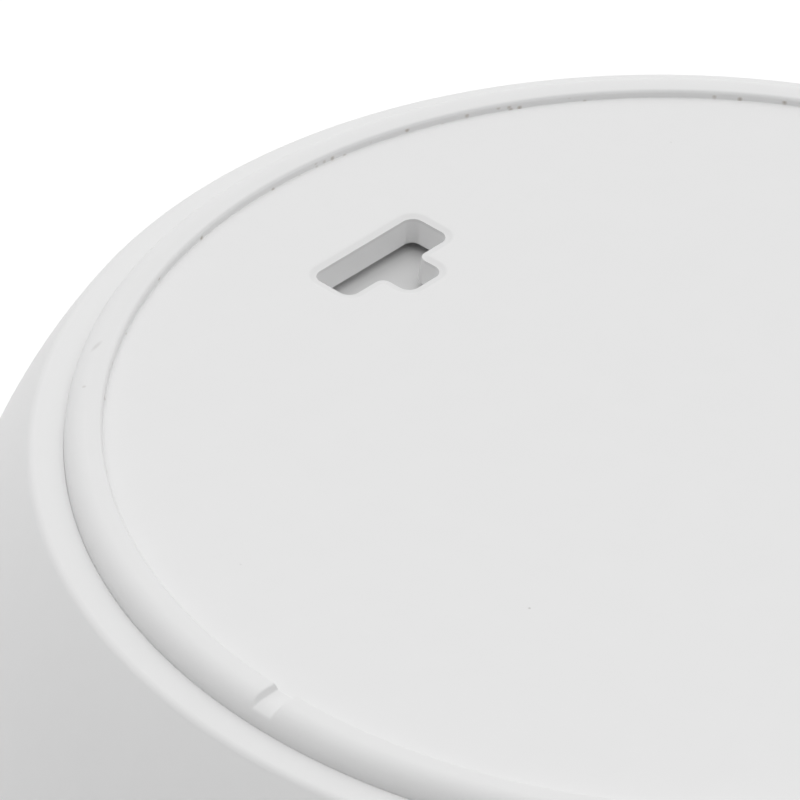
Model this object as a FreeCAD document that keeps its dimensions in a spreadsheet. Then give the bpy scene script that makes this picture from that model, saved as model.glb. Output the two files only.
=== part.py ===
# A round temperature and humidity sensor with a display, built from separate pieces.
# It lies face down: the front is on z = 0, the back faces +Z, and +Y is up when it hangs on a wall.
# All lengths are in millimetres and all angles in degrees.
import FreeCAD
import Part
import Sketcher
import os
import re

# Driving sizes: each is one cell of the sheet, and every length below is worked out from them
SIZES = {
    # Case
    "side_drop": 5.05,
    "belly_height": 6.6,
    "rim_width": 1.63,
    "rim_drop": 0.92,
    "rim_edge_chamfer": 0.3,
    "housing_wall": 1.8,
    "back_wall": 1.3,
    "parting_gap": 0.25,
    # Back cover
    "disc_border": 1.26,
    "ring_width": 1.9,
    "ring_step": 0.46,
    "ring_round": 0.95,
    "plate_wall": 1.31,
    "cover_gap": 0.12,
    "floor_gap": 0.6,
    "skirt_wall": 1.2,
    "skirt_depth": 4.1,
    "seat_gap": 0.1,
    "channel_gap": 0.3,
    "notch_width": 1.25,
    "bead_proud": 0.07,
    "bead_height": 0.8,
    "bead_drop": 3.6,
    "bead_span": 24.0,
    "bead_count": 4,
    # T slot for a stand
    "slot_inset": 8.1,
    "slot_length": 7.55,
    "slot_height": 2.55,
    "stub_width": 2.65,
    "stub_length": 1.85,
    "slot_round": 0.8,
    "slot_inner_round": 0.5,
    # Cells and their wells
    "cell_diameter": 10.5,
    "cell_length": 44.5,
    "nub_diameter": 3.8,
    "nub_height": 0.9,
    "cell_pitch_gap": 0.7,
    "cell_cover_gap": 0.4,
    "cell_side_gap": 0.2,
    "well_wall": 1.2,
    "well_board_gap": 2.73,
    "ridge_gap": 2.6,
    "contact_wall": 0.4,
    "contact_width": 6.8,
    "contact_height": 8.2,
    "dimple_radius": 1.6,
    "dimple_height": 0.3,
    "leaf_reach": 4.0,
    "leaf_span": 7.0,
    "leaf_wall": 0.3,
    "leaf_width": 4.6,
    "leaf_gap": 0.05,
    "leg_width": 1.6,
    "strap_width": 2.4,
    # Window
    "window_rim": 2.55,
    "window_gap": 0.25,
    "window_recess": 0.3,
    "window_wall": 1.5,
    "tape_wall": 0.3,
    "tape_inset": 2.4,
    "tape_border": 1.5,
    "view_border": 2.5,
    "view_height": 26.0,
    "view_round": 2.0,
    # Display glass
    "glass_inset": 6.3,
    "glass_wall": 0.8,
    "rear_glass_height": 24.8,
    "film_wall": 0.2,
    "film_inset": 0.6,
    "glass_gap": 0.3,
    "front_gap": 0.35,
    "stack_gap": 0.05,
    "zebra_width": 2.0,
    "zebra_inset": 4.0,
    "zebra_rib": 0.6,
    "zebra_border": 0.1,
    "zebra_gap": 0.2,
    "holder_wall": 1.9,
    "holder_floor": 1.0,
    # Front bezel
    "bezel_wall": 1.3,
    "lap_height": 0.7,
    "lap_wall": 1.0,
    "lap_gap": 0.2,
    "post_radius": 2.4,
    # Circuit board and the screws through it
    "board_height": 7.0,
    "board_gap": 6.7,
    "board_wall": 1.2,
    "finger_width": 7.0,
    "finger_slot": 1.2,
    "finger_length": 6.5,
    "screw_inset": 4.0,
    "screw_angle": 53.0,
    "screw_radius": 0.8,
    "screw_head_radius": 2.0,
    "screw_head_height": 1.4,
    "screw_seat_height": 12.0,
    "screw_depth": 2.6,
    "screw_gap": 0.05,
    "screw_clearance": 0.35,
    "boss_radius": 3.4,
    # Parts on the board
    "driver_size": 10.0,
    "driver_wall": 1.4,
    "driver_offset": 12.0,
    "radio_width": 16.0,
    "radio_length": 12.0,
    "radio_wall": 0.8,
    "radio_gap": 2.4,
    "shield_width": 12.6,
    "shield_length": 8.4,
    "shield_height": 1.8,
    "crystal_radius": 1.0,
    "crystal_length": 6.0,
    "crystal_offset": 5.0,
    "chip_length": 1.6,
    "chip_width": 0.8,
    "chip_height": 0.8,
    "chip_spacing": 2.6,
    "chip_count": 5,
    "sensor_size": 2.5,
    "sensor_height": 0.9,
    "sensor_inset": 2.6,
    "capacitor_radius": 2.5,
    "capacitor_height": 5.4,
    "capacitor_gap": 0.45,
    "solder_gap": 0.05,
    "leg_reach": 0.9,
    # Side vents in front of the sensor
    "vent_width": 1.2,
    "vent_height": 4.0,
    "vent_bottom": 9.0,
    "vent_step": 6.0,
    "vent_count": 5,
    # Pairing button in the top side wall
    "button_length": 9.0,
    "button_height": 3.6,
    "button_round": 1.75,
    "button_gap": 0.2,
    "button_proud": 0.3,
    "flange_border": 0.8,
    "flange_wall": 0.8,
    "flange_gap": 1.7,
    "stem_radius": 1.3,
    "switch_width": 6.0,
    "switch_depth": 3.5,
    "switch_height": 3.5,
    "switch_inset": 0.1,
    "plunger_radius": 0.85,
    "plunger_proud": 1.0,
    "plunger_hidden": 1.2,
    "plunger_room": 1.0,
    "plunger_gap": 0.1,
}

# Heights, from the front to the back
WINDOW_Z = "(window_recess + window_wall)"
SEAT_Z = f"({WINDOW_Z} + tape_wall)"
BEZEL_Z = f"({SEAT_Z} + bezel_wall)"
FRONT_FILM_Z = f"({WINDOW_Z} + front_gap)"
FRONT_GLASS_Z = f"({FRONT_FILM_Z} + film_wall)"
REAR_GLASS_Z = f"({FRONT_GLASS_Z} + glass_wall)"
REAR_FILM_Z = f"({REAR_GLASS_Z} + glass_wall)"
LAP_TOP_Z = "(belly_height + lap_height)"
BOARD_TOP_Z = "(board_height + board_wall)"
PARTS_Z = f"({BOARD_TOP_Z} + solder_gap)"
BUTTON_Z = f"({BOARD_TOP_Z} + switch_height / 2)"
TROUGH_RADIUS = "(cell_diameter / 2 + cell_side_gap)"
WELL_UNDER_Z = f"({BOARD_TOP_Z} + well_board_gap)"
CELL_Z = f"({WELL_UNDER_Z} + well_wall + {TROUGH_RADIUS})"
PLATE_UNDER_Z = f"({CELL_Z} + cell_diameter / 2 + cell_cover_gap)"
BACK_WALL_Z = f"({PLATE_UNDER_Z} - floor_gap)"
BACK_UNDER_Z = f"({BACK_WALL_Z} - back_wall)"
DISC_Z = f"({PLATE_UNDER_Z} + plate_wall)"
RIM_Z = f"({DISC_Z} - rim_drop)"
OVERALL_Z = f"({DISC_Z} + ring_step)"
SKIRT_Z = f"({OVERALL_Z} - skirt_depth)"
CHANNEL_Z = f"({SKIRT_Z} - seat_gap)"
CHANNEL_UNDER_Z = f"({CHANNEL_Z} - back_wall)"
BEAD_Z = f"({OVERALL_Z} - bead_drop)"

# Radii and distances across, from the cells outwards
CELL_Y = "((cell_diameter + cell_pitch_gap) / 2)"
WELL_X = "((cell_length + dimple_height + leaf_reach) / 2 + contact_wall)"
WELL_Y = f"({CELL_Y} + {TROUGH_RADIUS})"
DISC_RADIUS = f"(sqrt(({WELL_X} + well_wall)^2 + ({WELL_Y} + well_wall)^2) + disc_border)"
RING_RADIUS = f"({DISC_RADIUS} + ring_width)"
BORE_RADIUS = f"({RING_RADIUS} + cover_gap)"
SKIRT_RADIUS = f"({RING_RADIUS} - skirt_wall)"
CHANNEL_RADIUS = f"({SKIRT_RADIUS} - channel_gap)"
REAR_RADIUS = f"({BORE_RADIUS} + rim_width)"
BELLY_RADIUS = f"({REAR_RADIUS} + side_drop)"
SIDE_ARC = f"((side_drop^2 + ({RIM_Z} - belly_height)^2) / (2 * side_drop))"
SIDE_CENTRE = f"({BELLY_RADIUS} - {SIDE_ARC})"
INNER_RADIUS = f"({BELLY_RADIUS} - housing_wall)"
LAP_RADIUS = f"({INNER_RADIUS} - lap_gap)"
FRONT_FLAT = f"({BELLY_RADIUS} - belly_height)"
SLOT_Y = f"({DISC_RADIUS} - slot_inset)"
SCREW_CIRCLE = f"({DISC_RADIUS} - screw_inset)"
WINDOW_POCKET = f"({FRONT_FLAT} - window_rim)"
WINDOW_RADIUS = f"({WINDOW_POCKET} - window_gap)"
GLASS_WIDTH = f"(2 * ({WINDOW_RADIUS} - glass_inset))"
VIEW_WIDTH = f"({GLASS_WIDTH} - 2 * view_border)"
ZEBRA_LENGTH = f"({GLASS_WIDTH} - 2 * zebra_inset)"
ZEBRA_Y = "(rear_glass_height / 2 + zebra_rib + 2 * zebra_gap + zebra_width / 2)"
GLASS_HEIGHT = f"(2 * ({ZEBRA_Y} + zebra_width / 2 + zebra_border))"
BOARD_EDGE = f"({BELLY_RADIUS} - board_gap)"
SWITCH_FRONT_Y = f"({BOARD_EDGE} - switch_inset)"
PLUNGER_TIP_Y = f"({SWITCH_FRONT_Y} + plunger_proud)"
RADIO_Y = f"({SWITCH_FRONT_Y} - switch_depth - radio_gap - radio_length / 2)"
CAPACITOR_Y = f"({WELL_Y} + well_wall + capacitor_gap + capacitor_radius)"

document = FreeCAD.newDocument("temperature_humidity_sensor")
sheet = document.addObject("Spreadsheet::Sheet", "Sizes")
for row, (name, value) in enumerate(SIZES.items(), start=1):
    sheet.set(f"A{row}", name)
    sheet.set(f"B{row}", str(value))
    sheet.setAlias(f"B{row}", name)
document.recompute()

PIECES = []


# Helpers: formulas
def bound(formula):
    """The formula with each size's name turned into its cell of the sheet."""
    return re.sub(r"[a-z_]+", lambda word: "Sizes." + word[0] if word[0] in SIZES else word[0], str(formula))


def number(formula):
    """The formula's value now."""
    return float(sheet.evalExpression(bound(formula)))


def bind(item, **formulas):
    """Binds properties of a document object. Two underscores stand for a dot in a property's path."""
    for path, formula in formulas.items():
        item.setExpression(path.replace("__", "."), bound(formula))
    return item


def place(item, x="0", y="0", z="0"):
    """Binds where the object stands."""
    return bind(item, Placement__Base__x=x, Placement__Base__y=y, Placement__Base__z=z)


def turn(item, axis, degrees):
    """Turns the object about its own origin."""
    item.Placement = FreeCAD.Placement(item.Placement.Base, FreeCAD.Rotation(axis, degrees))
    return item


def piece(label, item):
    """Names a finished sub-part."""
    item.Label = label
    PIECES.append(item)
    return item


# Helpers: solids and booleans
def box(name, low, size):
    """A box from its low corner and its size, both as three formulas."""
    item = document.addObject("Part::Box", name)
    bind(item, Length=size[0], Width=size[1], Height=size[2])
    return place(item, *low)


def centred_box(name, middle, size):
    """A box centred on x and y, standing on z."""
    low = (f"{middle[0]} - ({size[0]}) / 2", f"{middle[1]} - ({size[1]}) / 2", middle[2])
    return box(name, low, size)


def cylinder(name, radius, height, base):
    """An upright cylinder from the centre of its lower face."""
    item = document.addObject("Part::Cylinder", name)
    bind(item, Radius=radius, Height=height)
    return place(item, *base)


def lying_cylinder(name, radius, length, start, axis, degrees):
    """A cylinder from the centre of its first face, turned from +Z about an axis."""
    item = document.addObject("Part::Cylinder", name)
    turn(item, axis, degrees)
    bind(item, Radius=radius, Height=length)
    return place(item, *start)


def cut(name, base, tools):
    """The base with all the tools taken away."""
    item = document.addObject("Part::Cut", name)
    item.Base = base
    item.Tool = tools[0] if len(tools) == 1 else fuse(f"{name}_tools", tools)
    return item


def common(name, base, tool):
    """What the two shapes share."""
    item = document.addObject("Part::Common", name)
    item.Base = base
    item.Tool = tool
    return item


def fuse(name, shapes):
    """All the shapes as one object. Shapes that don't touch stay separate solids."""
    item = document.addObject("Part::MultiFuse", name)
    item.Shapes = shapes
    return item


# Helpers: bodies made from sketches
def new_body(name):
    """An empty body."""
    return document.addObject("PartDesign::Body", name)


def origin_of(body, role):
    """One of the body's origin planes or axes."""
    return next(item for item in body.Origin.OriginFeatures if item.Role == role)


def new_sketch(body, name, plane, offset="0"):
    """A sketch on an origin plane of its body, moved along the plane's normal by the offset."""
    sketch = body.newObject("Sketcher::SketchObject", name)
    sketch.AttachmentSupport = [(origin_of(body, plane), "")]
    sketch.MapMode = "FlatFace"
    return bind(sketch, AttachmentOffset__Base__z=offset)


def pin_point(sketch, geometry, end, x, y):
    """Fixes one point of the sketch at x, y from its origin."""
    for kind, axis, formula in (("DistanceX", -2, x), ("DistanceY", -1, y)):
        if formula == "0":
            sketch.addConstraint(Sketcher.Constraint("PointOnObject", geometry, end, axis))
            continue
        index = sketch.addConstraint(Sketcher.Constraint(kind, -1, 1, geometry, end, number(formula)))
        sketch.setExpression(f"Constraints[{index}]", bound(formula))


def arc_between(start, finish, radius):
    """The short arc from start to finish. It turns left for a positive radius and right for a negative one."""
    chord = finish - start
    size = abs(radius)
    height = max(size**2 - chord.Length**2 / 4, 0) ** 0.5
    left = FreeCAD.Vector(-chord.y, chord.x, 0).normalize()
    side = 1 if radius > 0 else -1
    centre = (start + finish) / 2 + left * (side * height)
    first, second = (start, finish) if radius > 0 else (finish, start)
    circle = Part.Circle(centre, FreeCAD.Vector(0, 0, 1), size)
    return Part.ArcOfCircle(circle, circle.parameter(first), circle.parameter(second))


def outline(sketch, corners):
    """A closed outline. A corner is (x, y), or (x, y, turn, radius) where an arc leads to the next corner."""
    points = [FreeCAD.Vector(number(corner[0]), number(corner[1]), 0) for corner in corners]
    ends = []
    for index, corner in enumerate(corners):
        start = points[index]
        finish = points[(index + 1) % len(points)]
        if len(corner) == 2:
            geometry = sketch.addGeometry(Part.LineSegment(start, finish))
            ends.append((geometry, 1, 2))
            continue
        side = 1 if corner[2] == "left" else -1
        geometry = sketch.addGeometry(arc_between(start, finish, side * number(corner[3])))
        ends.append((geometry, 1, 2) if side > 0 else (geometry, 2, 1))
        fixed = sketch.addConstraint(Sketcher.Constraint("Radius", geometry, number(corner[3])))
        sketch.setExpression(f"Constraints[{fixed}]", bound(corner[3]))
    for index, (geometry, first, _) in enumerate(ends):
        before, _, last = ends[index - 1]
        sketch.addConstraint(Sketcher.Constraint("Coincident", before, last, geometry, first))
        pin_point(sketch, geometry, first, corners[index][0], corners[index][1])
    return sketch


def bands(across, up, radius, first, last, count):
    """Corners on an arc round a centre, from one angle to another, for a profile of straight bands."""
    corners = []
    for step in range(count + 1):
        angle = f"({first} + ({last} - ({first})) * {step} / {count})"
        corners.append((f"{across} + {radius} * cos({angle})", f"{up} + {radius} * sin({angle})"))
    return corners


def rounded(corners, radius, inner=None):
    """Corners of an outline with sides along the axes, with every corner rounded."""
    result = []
    for index, (x, y) in enumerate(corners):
        ways = []
        for other in (corners[index - 1], corners[(index + 1) % len(corners)]):
            step_x = number(other[0]) - number(x)
            step_y = number(other[1]) - number(y)
            ways.append((1 if step_x > 1e-6 else -1 if step_x < -1e-6 else 0,
                         1 if step_y > 1e-6 else -1 if step_y < -1e-6 else 0))
        (in_x, in_y), (out_x, out_y) = ways
        side = "left" if in_y * out_x - in_x * out_y > 0 else "right"
        size = radius if side == "left" or inner is None else inner
        result.append((f"{x} + {in_x} * ({size})", f"{y} + {in_y} * ({size})", side, size))
        result.append((f"{x} + {out_x} * ({size})", f"{y} + {out_y} * ({size})"))
    return result


def rectangle(width, height, x="0", y="0"):
    """The four corners of a rectangle round its centre."""
    left, right = f"{x} - ({width}) / 2", f"{x} + ({width}) / 2"
    low, high = f"{y} - ({height}) / 2", f"{y} + ({height}) / 2"
    return [(left, low), (right, low), (right, high), (left, high)]


def circle(sketch, x, y, radius):
    """A full circle."""
    centre = FreeCAD.Vector(number(x), number(y), 0)
    geometry = sketch.addGeometry(Part.Circle(centre, FreeCAD.Vector(0, 0, 1), number(radius)))
    pin_point(sketch, geometry, 3, x, y)
    index = sketch.addConstraint(Sketcher.Constraint("Radius", geometry, number(radius)))
    sketch.setExpression(f"Constraints[{index}]", bound(radius))
    return sketch


def feature(body, kind, name, sketch, reverse=False, **formulas):
    """A feature of a body made from a sketch. It has to change the body's volume."""
    before = body.Shape.Volume if not body.Shape.isNull() else 0
    item = body.newObject(f"PartDesign::{kind}", name)
    item.Profile = sketch
    if kind in ("Revolution", "Groove"):
        item.ReferenceAxis = (sketch, [formulas.pop("axis", "V_Axis")])
        item.Angle = 360
    item.Reversed = reverse
    bind(item, **formulas)
    document.recompute()
    if abs(body.Shape.Volume - before) < 1e-6:
        raise RuntimeError(f"{name} changes nothing")
    return item


def pattern(body, name, original, count, angle):
    """Copies of a feature round the body's Z axis, the whole way round or over an angle."""
    item = body.newObject("PartDesign::PolarPattern", name)
    item.Originals = [original]
    item.Axis = (origin_of(body, "Z_Axis"), [""])
    bind(item, Occurrences=count, Angle=angle)
    body.Tip = item
    document.recompute()
    return item


def chamfer(body, name, base, size, radius, z):
    """Chamfers the base feature's edge that is a circle of that radius at that height."""
    edges = [f"Edge{n}" for n, edge in enumerate(base.Shape.Edges, start=1) if is_ring(edge, radius, z)]
    if len(edges) != 1:
        raise RuntimeError(f"{name} finds {len(edges)} edges")
    item = body.newObject("PartDesign::Chamfer", name)
    item.Base = (base, edges)
    bind(item, Size=size)
    document.recompute()
    return item


def leg_hole(side):
    """The outline of the hole that a contact's leg passes through."""
    across, along = f"({WELL_X} - contact_wall)", f"{side}{CELL_Y}"
    return rectangle("2 * contact_wall", "leg_width + 2 * cell_side_gap", across, along)


def screw_places():
    """Where the screws stand, as pairs of formulas: across from each other, one on each side of the wells."""
    across = f"{SCREW_CIRCLE} * cos(screw_angle)"
    along = f"{SCREW_CIRCLE} * sin(screw_angle)"
    return [(f"{side}{across}", f"{side}{along}") for side in ("", "-")]


def octagon(radius):
    """The corners of a regular octagon, from the distance of its sides."""
    half = f"({radius} * tan(22.5))"
    corners = [(radius, half), (half, radius)]
    corners += [(f"-{y}", x) for x, y in corners]
    return corners + [(f"-{x}", f"-{y}") for x, y in corners]


# Case: front bezel
def front_bezel():
    body = new_body("front_bezel_body")
    shoulder_z = "(belly_height - parting_gap)"
    turned = f"-asin((belly_height - {shoulder_z}) / belly_height)"
    profile = outline(new_sketch(body, "bezel_profile", "XZ_Plane"), [
        (WINDOW_POCKET, "0"),
        (FRONT_FLAT, "0"),
        *bands(FRONT_FLAT, "belly_height", "belly_height", "-90 deg", turned, 4)[1:],
        (LAP_RADIUS, shoulder_z),
        (LAP_RADIUS, LAP_TOP_Z),
        (f"{LAP_RADIUS} - lap_wall", LAP_TOP_Z),
        (f"{LAP_RADIUS} - lap_wall", BEZEL_Z),
        ("0", BEZEL_Z),
        ("0", SEAT_Z),
        (WINDOW_POCKET, SEAT_Z),
    ])
    feature(body, "Revolution", "bezel_ring", profile)
    opening = new_sketch(body, "bezel_opening_outline", "XY_Plane", SEAT_Z)
    outline(opening, rectangle(f"{GLASS_WIDTH} + 2 * glass_gap", f"{GLASS_HEIGHT} + 2 * glass_gap"))
    feature(body, "Pocket", "bezel_opening", opening, reverse=True, Length="bezel_wall")
    posts = new_sketch(body, "bezel_post_circles", "XY_Plane", BEZEL_Z)
    holes = new_sketch(body, "bezel_hole_circles", "XY_Plane", "board_height")
    for x, y in screw_places():
        circle(posts, x, y, "post_radius")
        circle(holes, x, y, "screw_radius + screw_gap")
    feature(body, "Pad", "bezel_posts", posts, Length=f"board_height - {BEZEL_Z}")
    feature(body, "Pocket", "bezel_holes", holes, Length="screw_depth + screw_gap")
    return piece("front_bezel", body)


# Case: rear housing with the cell wells
def rear_housing():
    body = new_body("rear_housing_body")
    turned = f"asin(({RIM_Z} - belly_height) / {SIDE_ARC})"
    inner_arc = f"({SIDE_ARC} - housing_wall)"
    shoulder = f"({SIDE_CENTRE} + sqrt({inner_arc}^2 - ({CHANNEL_UNDER_Z} - belly_height)^2))"
    profile = outline(new_sketch(body, "housing_profile", "XZ_Plane"), [
        *bands(SIDE_CENTRE, "belly_height", SIDE_ARC, "0 deg", turned, 4),
        (BORE_RADIUS, RIM_Z),
        (BORE_RADIUS, CHANNEL_Z),
        (CHANNEL_RADIUS, CHANNEL_Z),
        (CHANNEL_RADIUS, BACK_WALL_Z),
        ("0", BACK_WALL_Z),
        ("0", BACK_UNDER_Z),
        (f"{CHANNEL_RADIUS} - back_wall", BACK_UNDER_Z),
        (f"{CHANNEL_RADIUS} - back_wall", CHANNEL_UNDER_Z),
        (shoulder, CHANNEL_UNDER_Z),
        (INNER_RADIUS, f"({CHANNEL_UNDER_Z} + belly_height) / 2"),
        (INNER_RADIUS, "belly_height"),
    ])
    shell = feature(body, "Revolution", "housing_shell", profile)
    chamfer(body, "housing_rim_chamfer", shell, "rim_edge_chamfer", REAR_RADIUS, RIM_Z)
    wells = new_sketch(body, "housing_well_outline", "XY_Plane", WELL_UNDER_Z)
    outline(wells, rectangle(f"2 * ({WELL_X} + well_wall)", f"2 * ({WELL_Y} + well_wall)"))
    feature(body, "Pad", "housing_wells", wells, Length=f"{BACK_UNDER_Z} - {WELL_UNDER_Z}")
    bosses = new_sketch(body, "housing_boss_circles", "XY_Plane", BOARD_TOP_Z)
    sinks = new_sketch(body, "housing_sink_circles", "XY_Plane", BACK_WALL_Z)
    holes = new_sketch(body, "housing_hole_circles", "XY_Plane", "screw_seat_height")
    for x, y in screw_places():
        circle(bosses, x, y, "boss_radius")
        circle(sinks, x, y, "screw_head_radius + screw_clearance")
        circle(holes, x, y, "screw_radius + screw_clearance")
    feature(body, "Pad", "housing_bosses", bosses, Length=f"{BACK_UNDER_Z} - {BOARD_TOP_Z}")
    feature(body, "Pocket", "housing_sinks", sinks, Length=f"{BACK_WALL_Z} - screw_seat_height")
    feature(body, "Pocket", "housing_holes", holes, Length=f"screw_seat_height - {BOARD_TOP_Z}")
    troughs = new_sketch(body, "housing_trough_outline", "YZ_Plane", f"-{WELL_X}")
    middle = "(ridge_gap / 2)"
    ridge_z = f"({CELL_Z} - sqrt({TROUGH_RADIUS}^2 - ({CELL_Y} - {middle})^2))"
    outline(troughs, [
        (WELL_Y, f"{BACK_WALL_Z}"),
        (f"-{WELL_Y}", f"{BACK_WALL_Z}"),
        (f"-{WELL_Y}", CELL_Z, "left", TROUGH_RADIUS),
        (f"-{CELL_Y}", f"{CELL_Z} - {TROUGH_RADIUS}", "left", TROUGH_RADIUS),
        (f"-{middle}", ridge_z),
        (middle, ridge_z, "left", TROUGH_RADIUS),
        (CELL_Y, f"{CELL_Z} - {TROUGH_RADIUS}", "left", TROUGH_RADIUS),
        (WELL_Y, CELL_Z),
    ])
    feature(body, "Pocket", "housing_troughs", troughs, reverse=True, Length=f"2 * {WELL_X}")
    legs = new_sketch(body, "housing_leg_slots", "XY_Plane", f"{CELL_Z}")
    for side in ("", "-"):
        outline(legs, leg_hole(side))
    feature(body, "Pocket", "housing_leg_holes", legs, Length=f"{CELL_Z} - {WELL_UNDER_Z}")
    vent_holes(body)
    key = new_sketch(body, "housing_button_outline", "XZ_Plane", f"-{INNER_RADIUS} + housing_wall")
    outline(key, rounded(button_outline("button_gap"), "button_round + button_gap"))
    feature(body, "Pocket", "housing_button_hole", key, Length="3 * housing_wall")
    return piece("rear_housing", body)


def is_ring(edge, radius, z):
    """Whether the edge is a circle of that radius round the Z axis, at that height."""
    if not isinstance(edge.Curve, Part.Circle):
        return False
    return abs(edge.Curve.Radius - number(radius)) < 1e-4 and abs(edge.Curve.Center.z - number(z)) < 1e-4


def vent_holes(body):
    """A row of upright slots through the wall at -Y, one sketch turned to the first slot and repeated."""
    first = "(-vent_step * (vent_count - 1) / 2)"
    reach = f"({BELLY_RADIUS} - 2 * housing_wall)"
    slot = new_sketch(body, "housing_vent_outline", "XZ_Plane")
    slot.AttachmentOffset = FreeCAD.Placement(FreeCAD.Vector(), FreeCAD.Rotation(FreeCAD.Vector(0, 1, 0), 1))
    bind(slot, AttachmentOffset__Rotation__Angle=first, AttachmentOffset__Base__x=f"{reach} * sin({first})",
         AttachmentOffset__Base__z=f"{reach} * cos({first})")
    outline(slot, rectangle("vent_width", "vent_height", "0", "(vent_bottom + vent_height / 2)"))
    hole = feature(body, "Pocket", "housing_vent", slot, reverse=True, Length="3 * housing_wall")
    pattern(body, "housing_vents", hole, "vent_count", "vent_step * (vent_count - 1)")


def button_outline(gap):
    """The button's outline on the side wall, with a gap round it."""
    return rectangle(f"button_length + 2 * {gap}", f"button_height + 2 * {gap}", "0", BUTTON_Z)


# Case: back cover
def back_cover():
    body = new_body("back_cover_body")
    ring_middle = f"({RING_RADIUS} - ring_round)"
    profile = outline(new_sketch(body, "cover_profile", "XZ_Plane"), [
        ("0", PLATE_UNDER_Z),
        (SKIRT_RADIUS, PLATE_UNDER_Z),
        (SKIRT_RADIUS, SKIRT_Z),
        (RING_RADIUS, SKIRT_Z),
        *bands(ring_middle, f"{OVERALL_Z} - ring_round", "ring_round", "0 deg", "90 deg", 3),
        (DISC_RADIUS, OVERALL_Z),
        (DISC_RADIUS, DISC_Z),
        ("0", DISC_Z),
    ])
    feature(body, "Revolution", "cover_shell", profile)
    slot = new_sketch(body, "cover_slot_outline", "XY_Plane", DISC_Z)
    outline(slot, rounded(slot_corners(), "slot_round", "slot_inner_round"))
    feature(body, "Pocket", "cover_slot", slot, Length="plate_wall")
    notch = new_sketch(body, "cover_notch_outline", "XY_Plane", OVERALL_Z)
    outline(notch, rectangle("3 * ring_width", "notch_width", RING_RADIUS))
    feature(body, "Pocket", "cover_notch", notch, Length="ring_step")
    bead = new_sketch(body, "cover_bead_outline", "XZ_Plane")
    bead.AttachmentOffset = FreeCAD.Placement(FreeCAD.Vector(), FreeCAD.Rotation(FreeCAD.Vector(0, 1, 0), 1))
    bind(bead, AttachmentOffset__Rotation__Angle="(180 / bead_count - bead_span / 2)")
    outline(bead, [
        (f"{RING_RADIUS} - skirt_wall / 2", f"{BEAD_Z} - bead_height / 2"),
        (RING_RADIUS, f"{BEAD_Z} - bead_height / 2"),
        (f"{RING_RADIUS} + bead_proud", BEAD_Z),
        (RING_RADIUS, f"{BEAD_Z} + bead_height / 2"),
        (f"{RING_RADIUS} - skirt_wall / 2", f"{BEAD_Z} + bead_height / 2"),
    ])
    strip = body.newObject("PartDesign::Revolution", "cover_bead")
    strip.Profile = bead
    strip.ReferenceAxis = (bead, ["V_Axis"])
    bind(strip, Angle="bead_span")
    document.recompute()
    pattern(body, "cover_beads", strip, "bead_count", "360")
    return piece("back_cover", body)


def slot_corners():
    """The T slot's corners: a bar across, and a stub towards the middle of the cover."""
    half, stub = "slot_length / 2", "stub_width / 2"
    outer = f"-{SLOT_Y} - slot_height / 2"
    inner = f"-{SLOT_Y} + slot_height / 2"
    tip = f"{inner} + stub_length"
    return [
        (f"-{half}", outer), (half, outer), (half, inner), (stub, inner),
        (stub, tip), (f"-{stub}", tip), (f"-{stub}", inner), (f"-{half}", inner),
    ]


# Window
def display_window():
    low = ("0", "0", "window_recess")
    return piece("display_window", cylinder("window_disc", WINDOW_RADIUS, "window_wall", low))


def window_adhesive():
    body = new_body("window_adhesive_body")
    tape = new_sketch(body, "tape_outline", "XY_Plane", WINDOW_Z)
    outline(tape, octagon(f"({WINDOW_RADIUS} - tape_inset)"))
    opening = rectangle(f"{VIEW_WIDTH} + 2 * tape_border", "view_height + 2 * tape_border")
    outline(tape, rounded(opening, "view_round"))
    feature(body, "Pad", "tape_ring", tape, Length="tape_wall")
    return piece("window_adhesive", body)


# Display
def display_sheet(label, z, thickness, width, height):
    """A flat layer of the display."""
    return piece(label, centred_box(f"{label}_box", ("0", "0", z), (width, height, thickness)))


def lcd_holder():
    width, height = f"{GLASS_WIDTH} + 2 * holder_wall", f"{GLASS_HEIGHT} + 2 * holder_wall"
    block = centred_box("holder_block", ("0", "0", BEZEL_Z), (width, height, f"board_height - {BEZEL_Z}"))
    pocket_depth = f"{REAR_FILM_Z} + film_wall + stack_gap - {BEZEL_Z}"
    pocket = centred_box("holder_pocket", ("0", "0", BEZEL_Z),
                         (f"{GLASS_WIDTH} + 2 * zebra_gap", "rear_glass_height + 2 * zebra_gap", pocket_depth))
    floor_z = f"{BEZEL_Z} + {pocket_depth} + holder_floor"
    hollow_size = (f"{GLASS_WIDTH} - 2 * holder_wall", "rear_glass_height - 2 * holder_wall", "board_height")
    hollow = centred_box("holder_hollow", ("0", "0", floor_z), hollow_size)
    tools = [pocket, hollow]
    for side in ("", "-"):
        low = ("0", f"{side}{ZEBRA_Y}", BEZEL_Z)
        size = (f"{ZEBRA_LENGTH} + 2 * zebra_gap", "zebra_width + 2 * zebra_gap", "board_height")
        tools.append(centred_box(f"holder_slot{len(tools)}", low, size))
    return piece("lcd_holder", cut("holder_cut", block, tools))


def zebra_strips():
    strips = []
    for side in ("", "-"):
        strips.append(centred_box(f"zebra{len(strips)}", ("0", f"{side}{ZEBRA_Y}", REAR_GLASS_Z),
                                  (ZEBRA_LENGTH, "zebra_width", f"board_height - {REAR_GLASS_Z}")))
    return piece("zebra_strips", fuse("zebra_pair", strips))


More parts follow.
